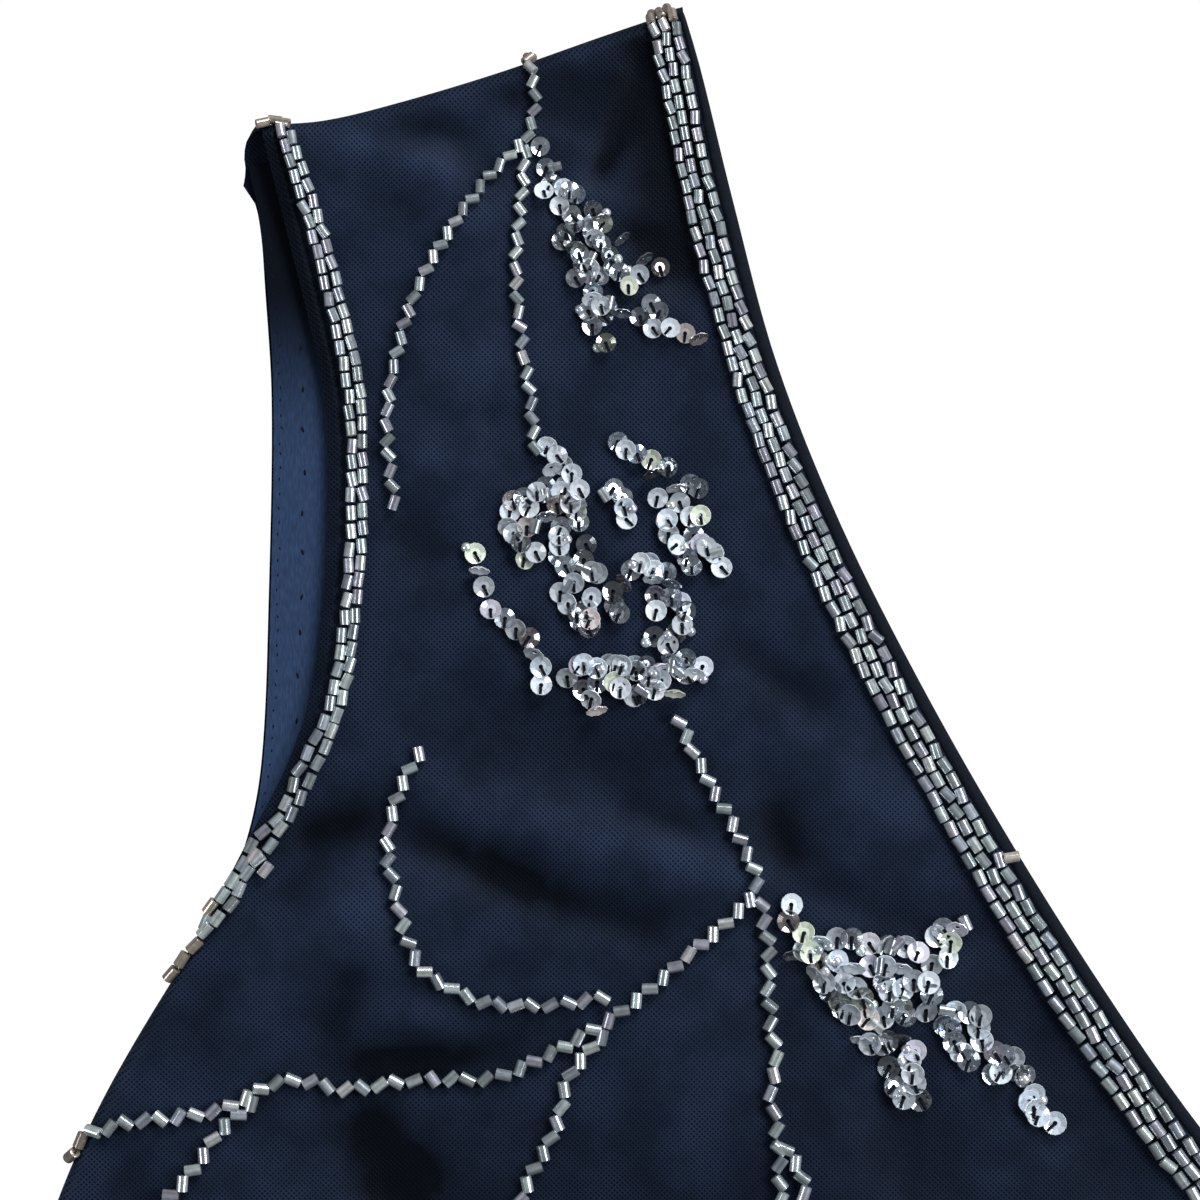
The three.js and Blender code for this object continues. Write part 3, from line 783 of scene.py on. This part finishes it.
def over_cloth(x, depth, lift):
    """Points over the front in millimetres, lifted off it along its normals, and the normals."""
    step = 0.25
    rise_x = (front_height(x + step, depth) - front_height(x - step, depth)) / (2 * step)
    rise_down = (front_height(x, depth + step) - front_height(x, depth - step)) / (2 * step)
    normals = np.stack([-rise_x, rise_down, np.ones_like(x)], axis=-1)
    normals /= np.linalg.norm(normals, axis=-1, keepdims=True)
    points = np.stack([x, TOP - depth, front_height(x, depth)], axis=-1)
    return points + normals * np.reshape(lift, (-1, 1)), normals


def surface_point(x, depth, lift):
    points, normals = over_cloth(np.array([x]), np.array([depth]), lift)
    return Vector(points[0]), Vector(normals[0])


def line_over_cloth(route):
    """Middles of bugles every 0.15 mm along a route of x and depth, with their normals."""
    route = np.array(route, float)
    reach = np.concatenate([[0], np.cumsum(np.hypot(*np.diff(route, axis=0).T))])
    even = np.linspace(0, reach[-1], max(int(reach[-1] / 0.15), 2))
    x, depth = (np.interp(even, reach, route[:, i]) for i in (0, 1))
    points, normals = over_cloth(x, depth, CLOTH / 2 + BUGLE_RADIUS * bead_size(depth) + 0.03)
    return [(Vector(p), Vector(n)) for p, n in zip(points, normals)]


def bead_frame(point, along, normal, turn=0.0, tilt=0.0):
    """Place of a bead whose Y runs along a line, turned in the cloth and tilted out of it."""
    y = Matrix.Rotation(turn, 3, normal) @ along.normalized()
    x = y.cross(normal).normalized()
    y = Matrix.Rotation(tilt, 3, x) @ y
    z = x.cross(y)
    size = float(bead_size(TOP - point.y))
    return Matrix.Translation(point) @ Matrix((x, y, z)).transposed().to_4x4() @ Matrix.Scale(size, 4)


def bead_on_cloth(x, depth, lift, toward, tilt=0.0):
    """Place of a bead that lies along the cloth, with its Y toward a direction seen from above."""
    point, normal = surface_point(x, depth, lift)
    along = Vector((*toward, 0))
    return bead_frame(point, along - normal * along.dot(normal), normal, 0, tilt)


def beads_along(line, pitch, start, rng, jitter=0.12, turns=(0,)):
    """Places of beads set end to end along a line, a little out of line and unevenly turned."""
    points = [p for p, n in line]
    reach = np.concatenate([[0], np.cumsum([(b - a).length for a, b in zip(points, points[1:])])])
    places = []
    at = start
    number = 0
    while at < reach[-1]:
        i = min(int(np.searchsorted(reach, at)), len(points) - 1)
        near, far = points[max(i - 6, 0)], points[min(i + 6, len(points) - 1)]
        turn = turns[number % len(turns)] + rng.gauss(0, jitter)
        aside = (far - near).cross(line[i][1]).normalized() * rng.gauss(0, 0.1)
        places.append(bead_frame(points[i] + aside, far - near, line[i][1], turn, rng.gauss(0, 0.04)))
        at += pitch * float(bead_size(TOP - points[i].y)) * rng.uniform(0.93, 1.1)
        number += 1
    return places


CASTS = (
    (0.83, 0.93, 1), (0.78, 0.92, 1), (0.78, 0.88, 1.03), (0.84, 0.86, 1.03), (0.8, 0.93, 0.98),
)
# Painted reflection: beads that turn over a fold are painted a warm tan.
TURNED_PAINTED_REFLECTION = [0.8, 0.69, 0.59, 1]
TURNED_BELOW = 0.86


def bead_tones(rng, places, darkest=0.52):
    """Silver with a blue, green or violet cast, and a warm painted reflection where the beads turn over.
    """
    tones = []
    for place in places:
        light = rng.uniform(darkest, 1.16)
        turned_over = place.col[2].normalized().z < TURNED_BELOW
        cast = TURNED_PAINTED_REFLECTION[:3] if turned_over else rng.choice(CASTS)
        tones.append([min(light * c, 1) for c in cast] + [1])
    return tones


def rolled(rng, places):
    """The same beads, each turned about its own axis."""
    return [place @ Matrix.Rotation(rng.randrange(12) * math.pi / 6, 4, "Y") for place in places]


# Drawn glass tube, cut short and silvered inside. The lining mirrors the light as a bright
# stripe along each bead, and the glass over it is clear and smooth. Light and dark painted
# reflection stripes along its sides also come with each bead's tone.
def silver_lined_glass_material():
    material = new_material("silver_lined_glass")
    tone = add_node(material, "Attribute", attribute_name="tone").outputs["Color"]
    place = add_node(material, "TexCoord").outputs["Object"]
    ripple = noise(material, place, 700.0, 1.0)
    shade = map_range(material, ripple, 0.3, 0.7, 0.72)
    return add_shader(material, {
        "Base Color": blend(material, 1.0, tone, shade, "MULTIPLY"), "Metallic": 0.62, "Roughness": 0.22,
        "Normal": bump(material, ripple, 0.12, 0.0003), "Coat Weight": 0.6, "Coat Roughness": 0.06,
    })


silver_lined_glass = silver_lined_glass_material()
bugle = model_bugle()
# Painted reflection: the twelve sides of each bugle are painted lighter and darker, as stripes of
# mirrored light.
PAINTED_SIDE_STRIPES = np.array([1, 0.62, 0.95, 0.5, 0.85, 1, 0.55, 0.9, 0.7, 1, 0.5, 0.8])
bugle_sides = np.round(np.arctan2(bugle[0][:, 2], bugle[0][:, 0]) / (math.pi / 6)).astype(int) % 12
painted_bugle_stripes = PAINTED_SIDE_STRIPES[bugle_sides]
BEAD_LIFT = CLOTH / 2 + 1.15 * BUGLE_RADIUS


def sew_on(piece, material, slot_name, *replaced):
    """Gives a mesh of beads or sequins its material, and hides the solids it takes the place of."""
    finish_piece(piece, material, slot_name, *replaced)


def sew_bugles(name, places, tones, *replaced):
    beads = copies(name, bugle, places, tones, painted_stripes=painted_bugle_stripes)
    sew_on(beads, silver_lined_glass, "bugle_beads", *replaced)


def neck_bead_route(side, row):
    """A row of beads beside the neck binding, row 0 next to it, from shoulder to V."""
    route = []
    for depth in np.linspace(NECK_TOP + 0.7, V_DEPTH, 140):
        across = (row + 0.5) * BEAD_ROW_WIDTH * float(bead_size(depth))
        half, place = neck_point(depth, binding_width(depth) + SEAM_GAP + across)
        route.append((side * max(half, 1.0), place))
    return route


def armhole_bead_route(side, row):
    """A row of beads beside the armhole edge, row 0 nearest to it. Both end on the side fold."""
    route = []
    for shift in np.linspace(2.2, V_SHIFT, 240):
        ends = bodice_row(FRONT_OUTER, shift)
        depth = ends["outer"][1]
        if depth > ARMHOLE_ROW_ENDS[row]:
            break
        inset = float(read(ARMHOLE_ROWS, ("outer", "inner")[row], depth))
        half, place = row_place(ends, inset * steepness(FRONT_OUTER, depth))
        route.append((side * half, place))
    return route


def shoulder_turn(side, rng):
    """The last beads of the armhole rows, which lie along the shoulder fold."""
    places = []
    for half, inset, turn in TURN_BEADS:
        depth = float(read(SHOULDER, "depth", half)) + inset
        toward = (side, turn + rng.uniform(-0.1, 0.1))
        places.append(bead_on_cloth(side * half, depth, TURN_LIFT, toward))
    return places


for side_name, side in SIDES:
    rng = random.Random(11 if side < 0 else 12)
    for trim, route_of, bead_rows in (("neck", neck_bead_route, 3), ("armhole", armhole_bead_route, 2)):
        places = []
        for row in range(bead_rows):
            line = line_over_cloth(route_of(side, row))
            places += beads_along(line, BEAD_PITCH, (row % 2) * BEAD_PITCH / 2, rng)
        tones = bead_tones(rng, places)
        if trim == "armhole":
            turned = shoulder_turn(side, rng)
            places += turned
            tones += [TURNED_PAINTED_REFLECTION] * len(turned)
        name = f"{trim}_bugles_{side_name}"
        sew_bugles(name, rolled(rng, places), tones, f"{trim}_beads_{side_name}")

# Stray beads
# Three beads that sit beside the rows: a cream one across the neck binding, and two beside each
# other inside the armhole trim. They were caught down by the last stitches of a thread.
STRAY_LIFT = CLOTH / 2 + 1.6
STRAYS = (
    (-54.8, 171.4, (1, 0.15), [1, 0.93, 0.82, 1]),
    (-203.9, 173.9, (-0.8, -1), [0.95, 0.92, 1, 1]),
    (-205.6, 171.4, (-0.7, -1), [1, 0.97, 1, 1]),
)
strays = []
for x, depth, toward, tone in STRAYS:
    point, normal = surface_point(x, depth, STRAY_LIFT)
    strays.append(bead_frame(point, Vector((*toward, 0)), normal))
sew_bugles("stray_bugles", rolled(random.Random(5), strays), [stray[3] for stray in STRAYS])

# Lining stitches
# Prick stitches of navy thread that hold the lining to the back: one row 6.5 mm inside the
# armhole edge, and closer, finer ones right beside it.
PRICK_ROWS = ((6.5, 8.2, 1.0), (1.9, 2.7, 0.55))


# Polyester sewing thread, two strands twisted together and dyed navy.
def thread_material():
    material = new_material("navy_thread")
    place = add_node(material, "TexCoord").outputs["Object"]
    twist = add_node(material, "TexWave", {"Vector": place, "Scale": 900.0}).outputs["Fac"]
    yarn = blend(material, twist, "#05070c", "#121826")
    return add_shader(material, {"Base Color": yarn, "Roughness": 0.8, "Specular IOR Level": 0.1})


def model_prick():
    """One short stitch along Y, sunk at both ends."""
    deselect_all()
    bpy.ops.mesh.primitive_uv_sphere_add(segments=8, ring_count=6, radius=0.5 * MM)
    bpy.ops.transform.resize(value=(0.5, 1.3, 0.4))
    return mesh_as_arrays(bpy.context.object)


navy_thread = thread_material()
prick = model_prick()
for side_name, side in SIDES:
    rng = random.Random(41 if side < 0 else 42)
    pricks = []
    for inset, pitch, size in PRICK_ROWS:
        for depth in np.arange(LINING_FROM + 4, LINING_TO - 6, pitch):
            spot = (depth + rng.gauss(0, 0.25), inset + rng.gauss(0, 0.15))
            half, place = outer_point(LINING_OUTER, *spot)
            z = float(back_height(side * half, place)) + CLOTH / 2 + SEAM_GAP + LINING
            moved = Matrix.Translation((side * half, TOP - place, z))
            pricks.append(moved @ Matrix.Rotation(rng.gauss(0, 0.25), 4, "Z") @ Matrix.Scale(size, 4))
    stitches = copies(f"lining_stitches_{side_name}", prick, pricks, [[0, 0, 0, 1]] * len(pricks))
    finish_piece(stitches, navy_thread, "binding")

# Vines
# Single bugle beads sewn in a zigzag along curling stems, from the shoulder down over the
# bodice and out to the side folds, the same on both halves. Each stem is half, depth points.
VINE_PITCH = 2.75
VINE_TURN = math.radians(36)
STEMS = (
    [(151, 12.2), (150, 20), (151.6, 28), (152.6, 38), (154, 54), (152.8, 68), (151, 80), (150, 91)],
    [(152.6, 28.6), (159, 35), (166, 45), (172, 55), (177, 68), (179.4, 82), (179, 94), (178, 101.6)],
    [(121.5, 143.5), (116, 155), (110, 166), (106, 176), (107.6, 181)],
    [(108.5, 181.6), (119, 191), (131, 201), (147, 211), (159, 216), (173, 216.4), (188, 218),
     (200, 216), (214, 222), (230, 224), (235.6, 225.4), (238.2, 227), (240.4, 230), (242, 233.4)],
    [(173, 150), (177, 158), (179.4, 168), (178, 179), (173, 193), (161, 200), (149, 201), (135, 199.4)],
    [(136, 206.6), (143, 215), (146, 226), (152.6, 239), (154, 252)],
    [(206, 220), (214, 227), (219, 235), (224, 241), (227, 250)],
    [(105, 180), (103.4, 190), (103.6, 200), (102, 212), (103, 218), (101.4, 228), (101, 238), (99, 252)],
    [(100.6, 229), (97, 234), (96, 239), (92, 250)],
)


def curve_through(points):
    """A smooth line through given points, with a point about every millimetre."""
    points = np.array(points, float)
    ends = np.vstack([2 * points[0] - points[1], points, 2 * points[-1] - points[-2]])
    line = []
    for a, b, c, d in zip(ends, ends[1:], ends[2:], ends[3:]):
        for t in np.arange(0, 1, 1 / max(np.hypot(*(c - b)), 1)):
            line.append(0.5 * (2 * b + (c - a) * t + (2 * a - 5 * b + 4 * c - d) * t**2
                               + (3 * b - a - 3 * c + d) * t**3))
    return [tuple(p) for p in line] + [tuple(points[-1])]


for side_name, side in SIDES:
    rng = random.Random(21 if side < 0 else 22)
    places = []
    for stem in STEMS:
        route = [(side * half, depth) for half, depth in curve_through(stem)]
        places += beads_along(line_over_cloth(route), VINE_PITCH, 0.8, rng, 0.16, (VINE_TURN, -VINE_TURN))
    tones = bead_tones(rng, places)
    sew_bugles(f"vine_bugles_{side_name}", rolled(rng, places), tones)

# Flower and sprays
# Cup sequins of pearly clear plastic, 4 mm across, each held by one dark stitch from its hole
# over its rim, with small round glass beads and bugles between them. A rose stands between
# two leafy sprays. A stroke is an arc through three half, depth points, and a number of sequins.
SEQUIN_RADIUS = 1.85
SEQUIN_HOLE = 0.42
SEQUIN_FLAT = 1.0
SEQUIN_CUP = 0.42
SEQUIN_THICKNESS = 0.14
SEQUIN_LIFT = 0.75
SEQUIN_OVERLAP = 0.4
STEEP_SHARE = 0.12
BEAD_SHARE = 0.24
ROUND_BEAD_RADIUS = 0.95
ROSE = (
    (161.8, 110.6, 160.6, 115.4, 158.8, 122, 4), (155.4, 124, 150.6, 129.4, 148.4, 137.4, 6),
    (154.6, 100, 151, 98.8, 148, 97, 4), (154.8, 102.4, 151.5, 102, 148.6, 103, 3),
    (155.4, 105, 153, 107.6, 152.6, 111, 4), (151.6, 105.8, 150.6, 108, 149.8, 110, 2),
    (148.4, 89, 145, 92, 140.6, 97.4, 6), (143.6, 97.6, 143, 101, 141, 104, 5),
    (147.2, 93.5, 144.8, 98, 146, 101, 3), (144.6, 105.6, 145.2, 110, 142.4, 115.6, 6),
    (140, 109, 139.4, 113, 137.6, 115, 4), (134.2, 98, 132.6, 100.5, 132, 104, 4),
    (133.2, 88.4, 129.6, 91.6, 123.6, 93.4, 5), (127, 95, 125.8, 99, 123.4, 104, 3),
    (121.4, 97.4, 119.6, 97, 117.8, 98.2, 3), (121.2, 100.5, 119, 102.6, 117, 103.4, 3),
    (123.6, 104.6, 121.6, 109.6, 117.8, 113, 6), (118.6, 107.6, 115.4, 109.4, 112.8, 113.2, 5),
    (145, 119, 141.4, 123, 139, 125.4, 6), (139, 119.8, 139.8, 122, 138.6, 124, 3),
    (134.8, 118, 134.2, 121, 132.8, 122.6, 3), (132.2, 116, 129, 112.6, 126, 113.6, 5),
    (126.4, 115.4, 122.8, 115.2, 122.2, 119, 4), (126, 119.4, 125.4, 121, 125.6, 122, 2),
    (121, 120.6, 120.6, 124, 122.2, 127, 4), (126, 127.6, 122.6, 130.2, 119.8, 131.6, 4),
    (121.6, 134, 119, 135, 117, 134, 4), (143, 134.8, 140, 133, 137.4, 133.4, 5),
    (140.6, 137.4, 138.4, 139.4, 137.4, 141.4, 3), (137, 136.2, 133.6, 137, 130, 139, 4),
    (135.6, 133, 131, 133.4, 125.4, 133.2, 6), (132.6, 135.4, 128.6, 134.4, 124.6, 136.4, 4),
    (129.8, 138.8, 126, 137.6, 122, 137.6, 3),
)
TOP_SPRAY = (
    (149.2, 29, 148.5, 33.6, 148.2, 38.4, 3), (146, 36, 143.6, 38.4, 141.4, 39.4, 4),
    (145.2, 41.6, 142.4, 43.8, 143.6, 47, 4), (138.8, 41.8, 137.4, 43.6, 136.6, 45.6, 3),
    (144.6, 48.4, 142, 50, 140.8, 52.4, 4), (139.4, 46.4, 138.2, 48.4, 135.4, 51.6, 4),
    (133, 48, 132.8, 48, 132.6, 48.4, 1), (142.4, 55.6, 139.4, 54, 137.6, 55.6, 3),
    (134.6, 53.6, 133, 55, 131.6, 57.2, 3), (129, 51.6, 129.4, 55, 124.8, 54.2, 3),
    (138.8, 58.6, 138, 60.4, 135.8, 63.4, 4), (139.8, 61.6, 138.4, 65, 136.4, 69.4, 3),
    (135, 61.2, 133, 62.6, 132.6, 63, 2), (129.4, 63.8, 126.6, 65.8, 123, 66.4, 3),
    (127.2, 61.2, 126, 62, 124.8, 62.8, 2), (119.8, 66.8, 118.4, 67.4, 117.2, 67.6, 2),
)
LOW_SPRAY = (
    (99.4, 181.2, 98.8, 184, 96, 186.2, 3), (92.4, 187.4, 86.6, 187.8, 81, 188.8, 5),
    (79, 190, 75, 190.6, 71, 192.8, 4), (70.8, 187.2, 68.4, 186, 65.6, 185.6, 3),
    (68, 191.4, 66.8, 190, 66.6, 188.6, 2), (97.6, 190.4, 95.4, 189.8, 93.4, 192, 4),
    (93.6, 195, 90, 199, 86.6, 202.6, 6), (89.6, 192.4, 85, 193.4, 76.6, 193.2, 6),
    (88, 196.6, 84.8, 199.4, 83.6, 204, 5), (85, 207, 81.4, 208.6, 77.4, 206.8, 5),
    (80.6, 196, 79.2, 200, 80.6, 204.4, 4), (76.8, 198, 77.4, 201, 75.6, 203.6, 3),
    (74, 196, 71, 197.4, 72.6, 201.8, 4), (74.8, 211, 75, 214, 72.6, 220.4, 5),
    (79.6, 213.6, 78, 217, 76, 219.4, 3), (65.8, 202.2, 62.4, 203.2, 61, 206, 4),
    (67.8, 204.6, 66, 208, 62.8, 212.2, 5), (60.6, 208.4, 57.6, 211, 54.6, 211.4, 4),
    (58.4, 215.4, 55, 214.4, 51.8, 215.6, 4), (49.8, 218.4, 50.8, 222, 46.6, 224.6, 5),
)


def model_sequin():
    """A cup sequin round Z: a flat middle with a hole, and a faceted rim that rises."""
    deselect_all()
    bpy.ops.mesh.primitive_circle_add(vertices=16, radius=SEQUIN_RADIUS * MM, fill_type="NGON")
    sequin = bpy.context.object
    select_where(sequin, "polygons", lambda face: True)
    bpy.ops.mesh.inset(thickness=(SEQUIN_RADIUS - SEQUIN_FLAT) * MM, depth=0)
    bpy.ops.mesh.inset(thickness=(SEQUIN_FLAT - SEQUIN_HOLE) * MM, depth=0)
    bpy.ops.mesh.delete(type="ONLY_FACE")
    rim = 0.9 * SEQUIN_RADIUS * MM
    select_where(sequin, "vertices", lambda point: point.co.length > rim)
    bpy.ops.transform.translate(value=(0, 0, SEQUIN_CUP * MM))
    select_where(sequin, "vertices", lambda point: point.co.length > rim and point.index % 2 == 0)
    bpy.ops.transform.translate(value=(0, 0, 0.16 * MM))
    bpy.ops.object.mode_set(mode="OBJECT")
    thicken(sequin, SEQUIN_THICKNESS, -1)
    return mesh_as_arrays(sequin)


def model_round_bead():
    """A seed bead, a little flattened along its bore."""
    deselect_all()
    bpy.ops.mesh.primitive_uv_sphere_add(segments=10, ring_count=7, radius=ROUND_BEAD_RADIUS * MM)
    bpy.ops.transform.resize(value=(1, 1, 0.8))
    return mesh_as_arrays(bpy.context.object)


def model_stitch():
    """The stitch that holds a sequin: a flat bar of thread from the hole over the rim."""
    deselect_all()
    bpy.ops.mesh.primitive_cylinder_add(
        vertices=6, radius=0.29 * MM, depth=1.6 * MM, location=(0, -0.9 * MM, 0.36 * MM),
        rotation=(math.pi / 2 - 0.16, 0, 0),
    )
    return mesh_as_arrays(bpy.context.object)


# Pressed polyester film, some of it pearly and some clear and mirror-like, with a faint shift to
# green or pink. The tone's alpha says how clear and mirror-like each sequin is.
def pearl_sequin_material():
    material = new_material("pearl_sequin")
    tone = add_node(material, "Attribute", attribute_name="tone")
    clear = tone.outputs["Alpha"]
    return add_shader(material, {
        "Base Color": tone.outputs["Color"], "Metallic": clear, "Roughness": 0.2, "Coat Weight": 0.5,
        "Coat Roughness": 0.06, "Alpha": map_range(material, clear, 0.0, 1.0, 0.94, 0.7),
    })


RARE_TINTS = ((0.84, 0.84, 1), (0.84, 0.93, 0.78), (0.95, 0.86, 0.86))
SEQUIN_TINTS = ((0.82, 0.9, 1),) * 6 + ((0.77, 0.87, 1),) * 5 + RARE_TINTS


def sequin_tone(rng, pearly_share):
    """Pearly white to grey, or clear like dark glass, with a little green, pink and blue."""
    tint = rng.choice(SEQUIN_TINTS)
    pearly = rng.random() < pearly_share
    light = rng.uniform(0.42, 1.08) if pearly else rng.uniform(0.3, 0.95)
    return [min(light * c, 1) for c in tint] + [0.08 if pearly else 0.9]


def arc_places(stroke):
    """Half and depth along a stroke's arc, one for each of its pieces."""
    h1, d1, h2, d2, h3, d3, count = stroke
    for t in np.linspace(0, 1, count):
        yield (
            h1 * (1 - t) * (1 - 2 * t) + h2 * 4 * t * (1 - t) + h3 * t * (2 * t - 1),
            d1 * (1 - t) * (1 - 2 * t) + d2 * 4 * t * (1 - t) + d3 * t * (2 * t - 1),
        )


pearl_sequin = pearl_sequin_material()
sequin, round_bead, stitch = model_sequin(), model_round_bead(), model_stitch()
for side_name, side in SIDES:
    rng = random.Random(31 if side < 0 else 32)
    sequins, tones, stitches, rounds, bugles = [], [], [], [], []
    for motif, pearly_share in ((ROSE, 0.6), (TOP_SPRAY, 0.32), (LOW_SPRAY, 0.6)):
        for stroke in motif:
            for number, (half, depth) in enumerate(arc_places(stroke)):
                x = side * (half + rng.gauss(0, 0.35))
                depth += rng.gauss(0, 0.35)
                lift = CLOTH / 2 + SEQUIN_LIFT + SEQUIN_OVERLAP * (number % 3)
                toward = (rng.gauss(0, 0.45), 1)
                steep = rng.random() < STEEP_SHARE
                tilt = rng.uniform(0.9, 1.25) if steep else rng.gauss(0, 0.2)
                place = bead_on_cloth(x, depth, lift, toward, tilt)
                lean = Matrix.Rotation(rng.gauss(0, 0.18), 4, "Y")
                raised = Matrix.Translation((0, 0, 1.0 if steep else 0))
                sequins.append(raised @ place @ lean)
                tones.append(sequin_tone(rng, pearly_share))
                if not steep:
                    stitches.append(raised @ place @ lean)
                if rng.random() < BEAD_SHARE:
                    x += rng.choice((-1, 1)) * 1.7
                    depth += rng.uniform(-1.6, 1.6)
                    toward = (rng.gauss(0, 1), rng.gauss(0, 1))
                    kind = rounds if rng.random() < 0.5 else bugles
                    kind.append(bead_on_cloth(x, depth, BEAD_LIFT, toward))
    sew_on(copies(f"sequins_{side_name}", sequin, sequins, tones, 12), pearl_sequin, "sequins")
    dark = [[0, 0, 0, 1]] * len(stitches)
    sew_on(copies(f"sequin_stitches_{side_name}", stitch, stitches, dark), navy_thread, "binding")
    round_beads = copies(f"round_beads_{side_name}", round_bead, rounds, bead_tones(rng, rounds, 0.7))
    sew_on(round_beads, silver_lined_glass, "bugle_beads")
    sew_bugles(f"motif_bugles_{side_name}", bugles, bead_tones(rng, bugles))
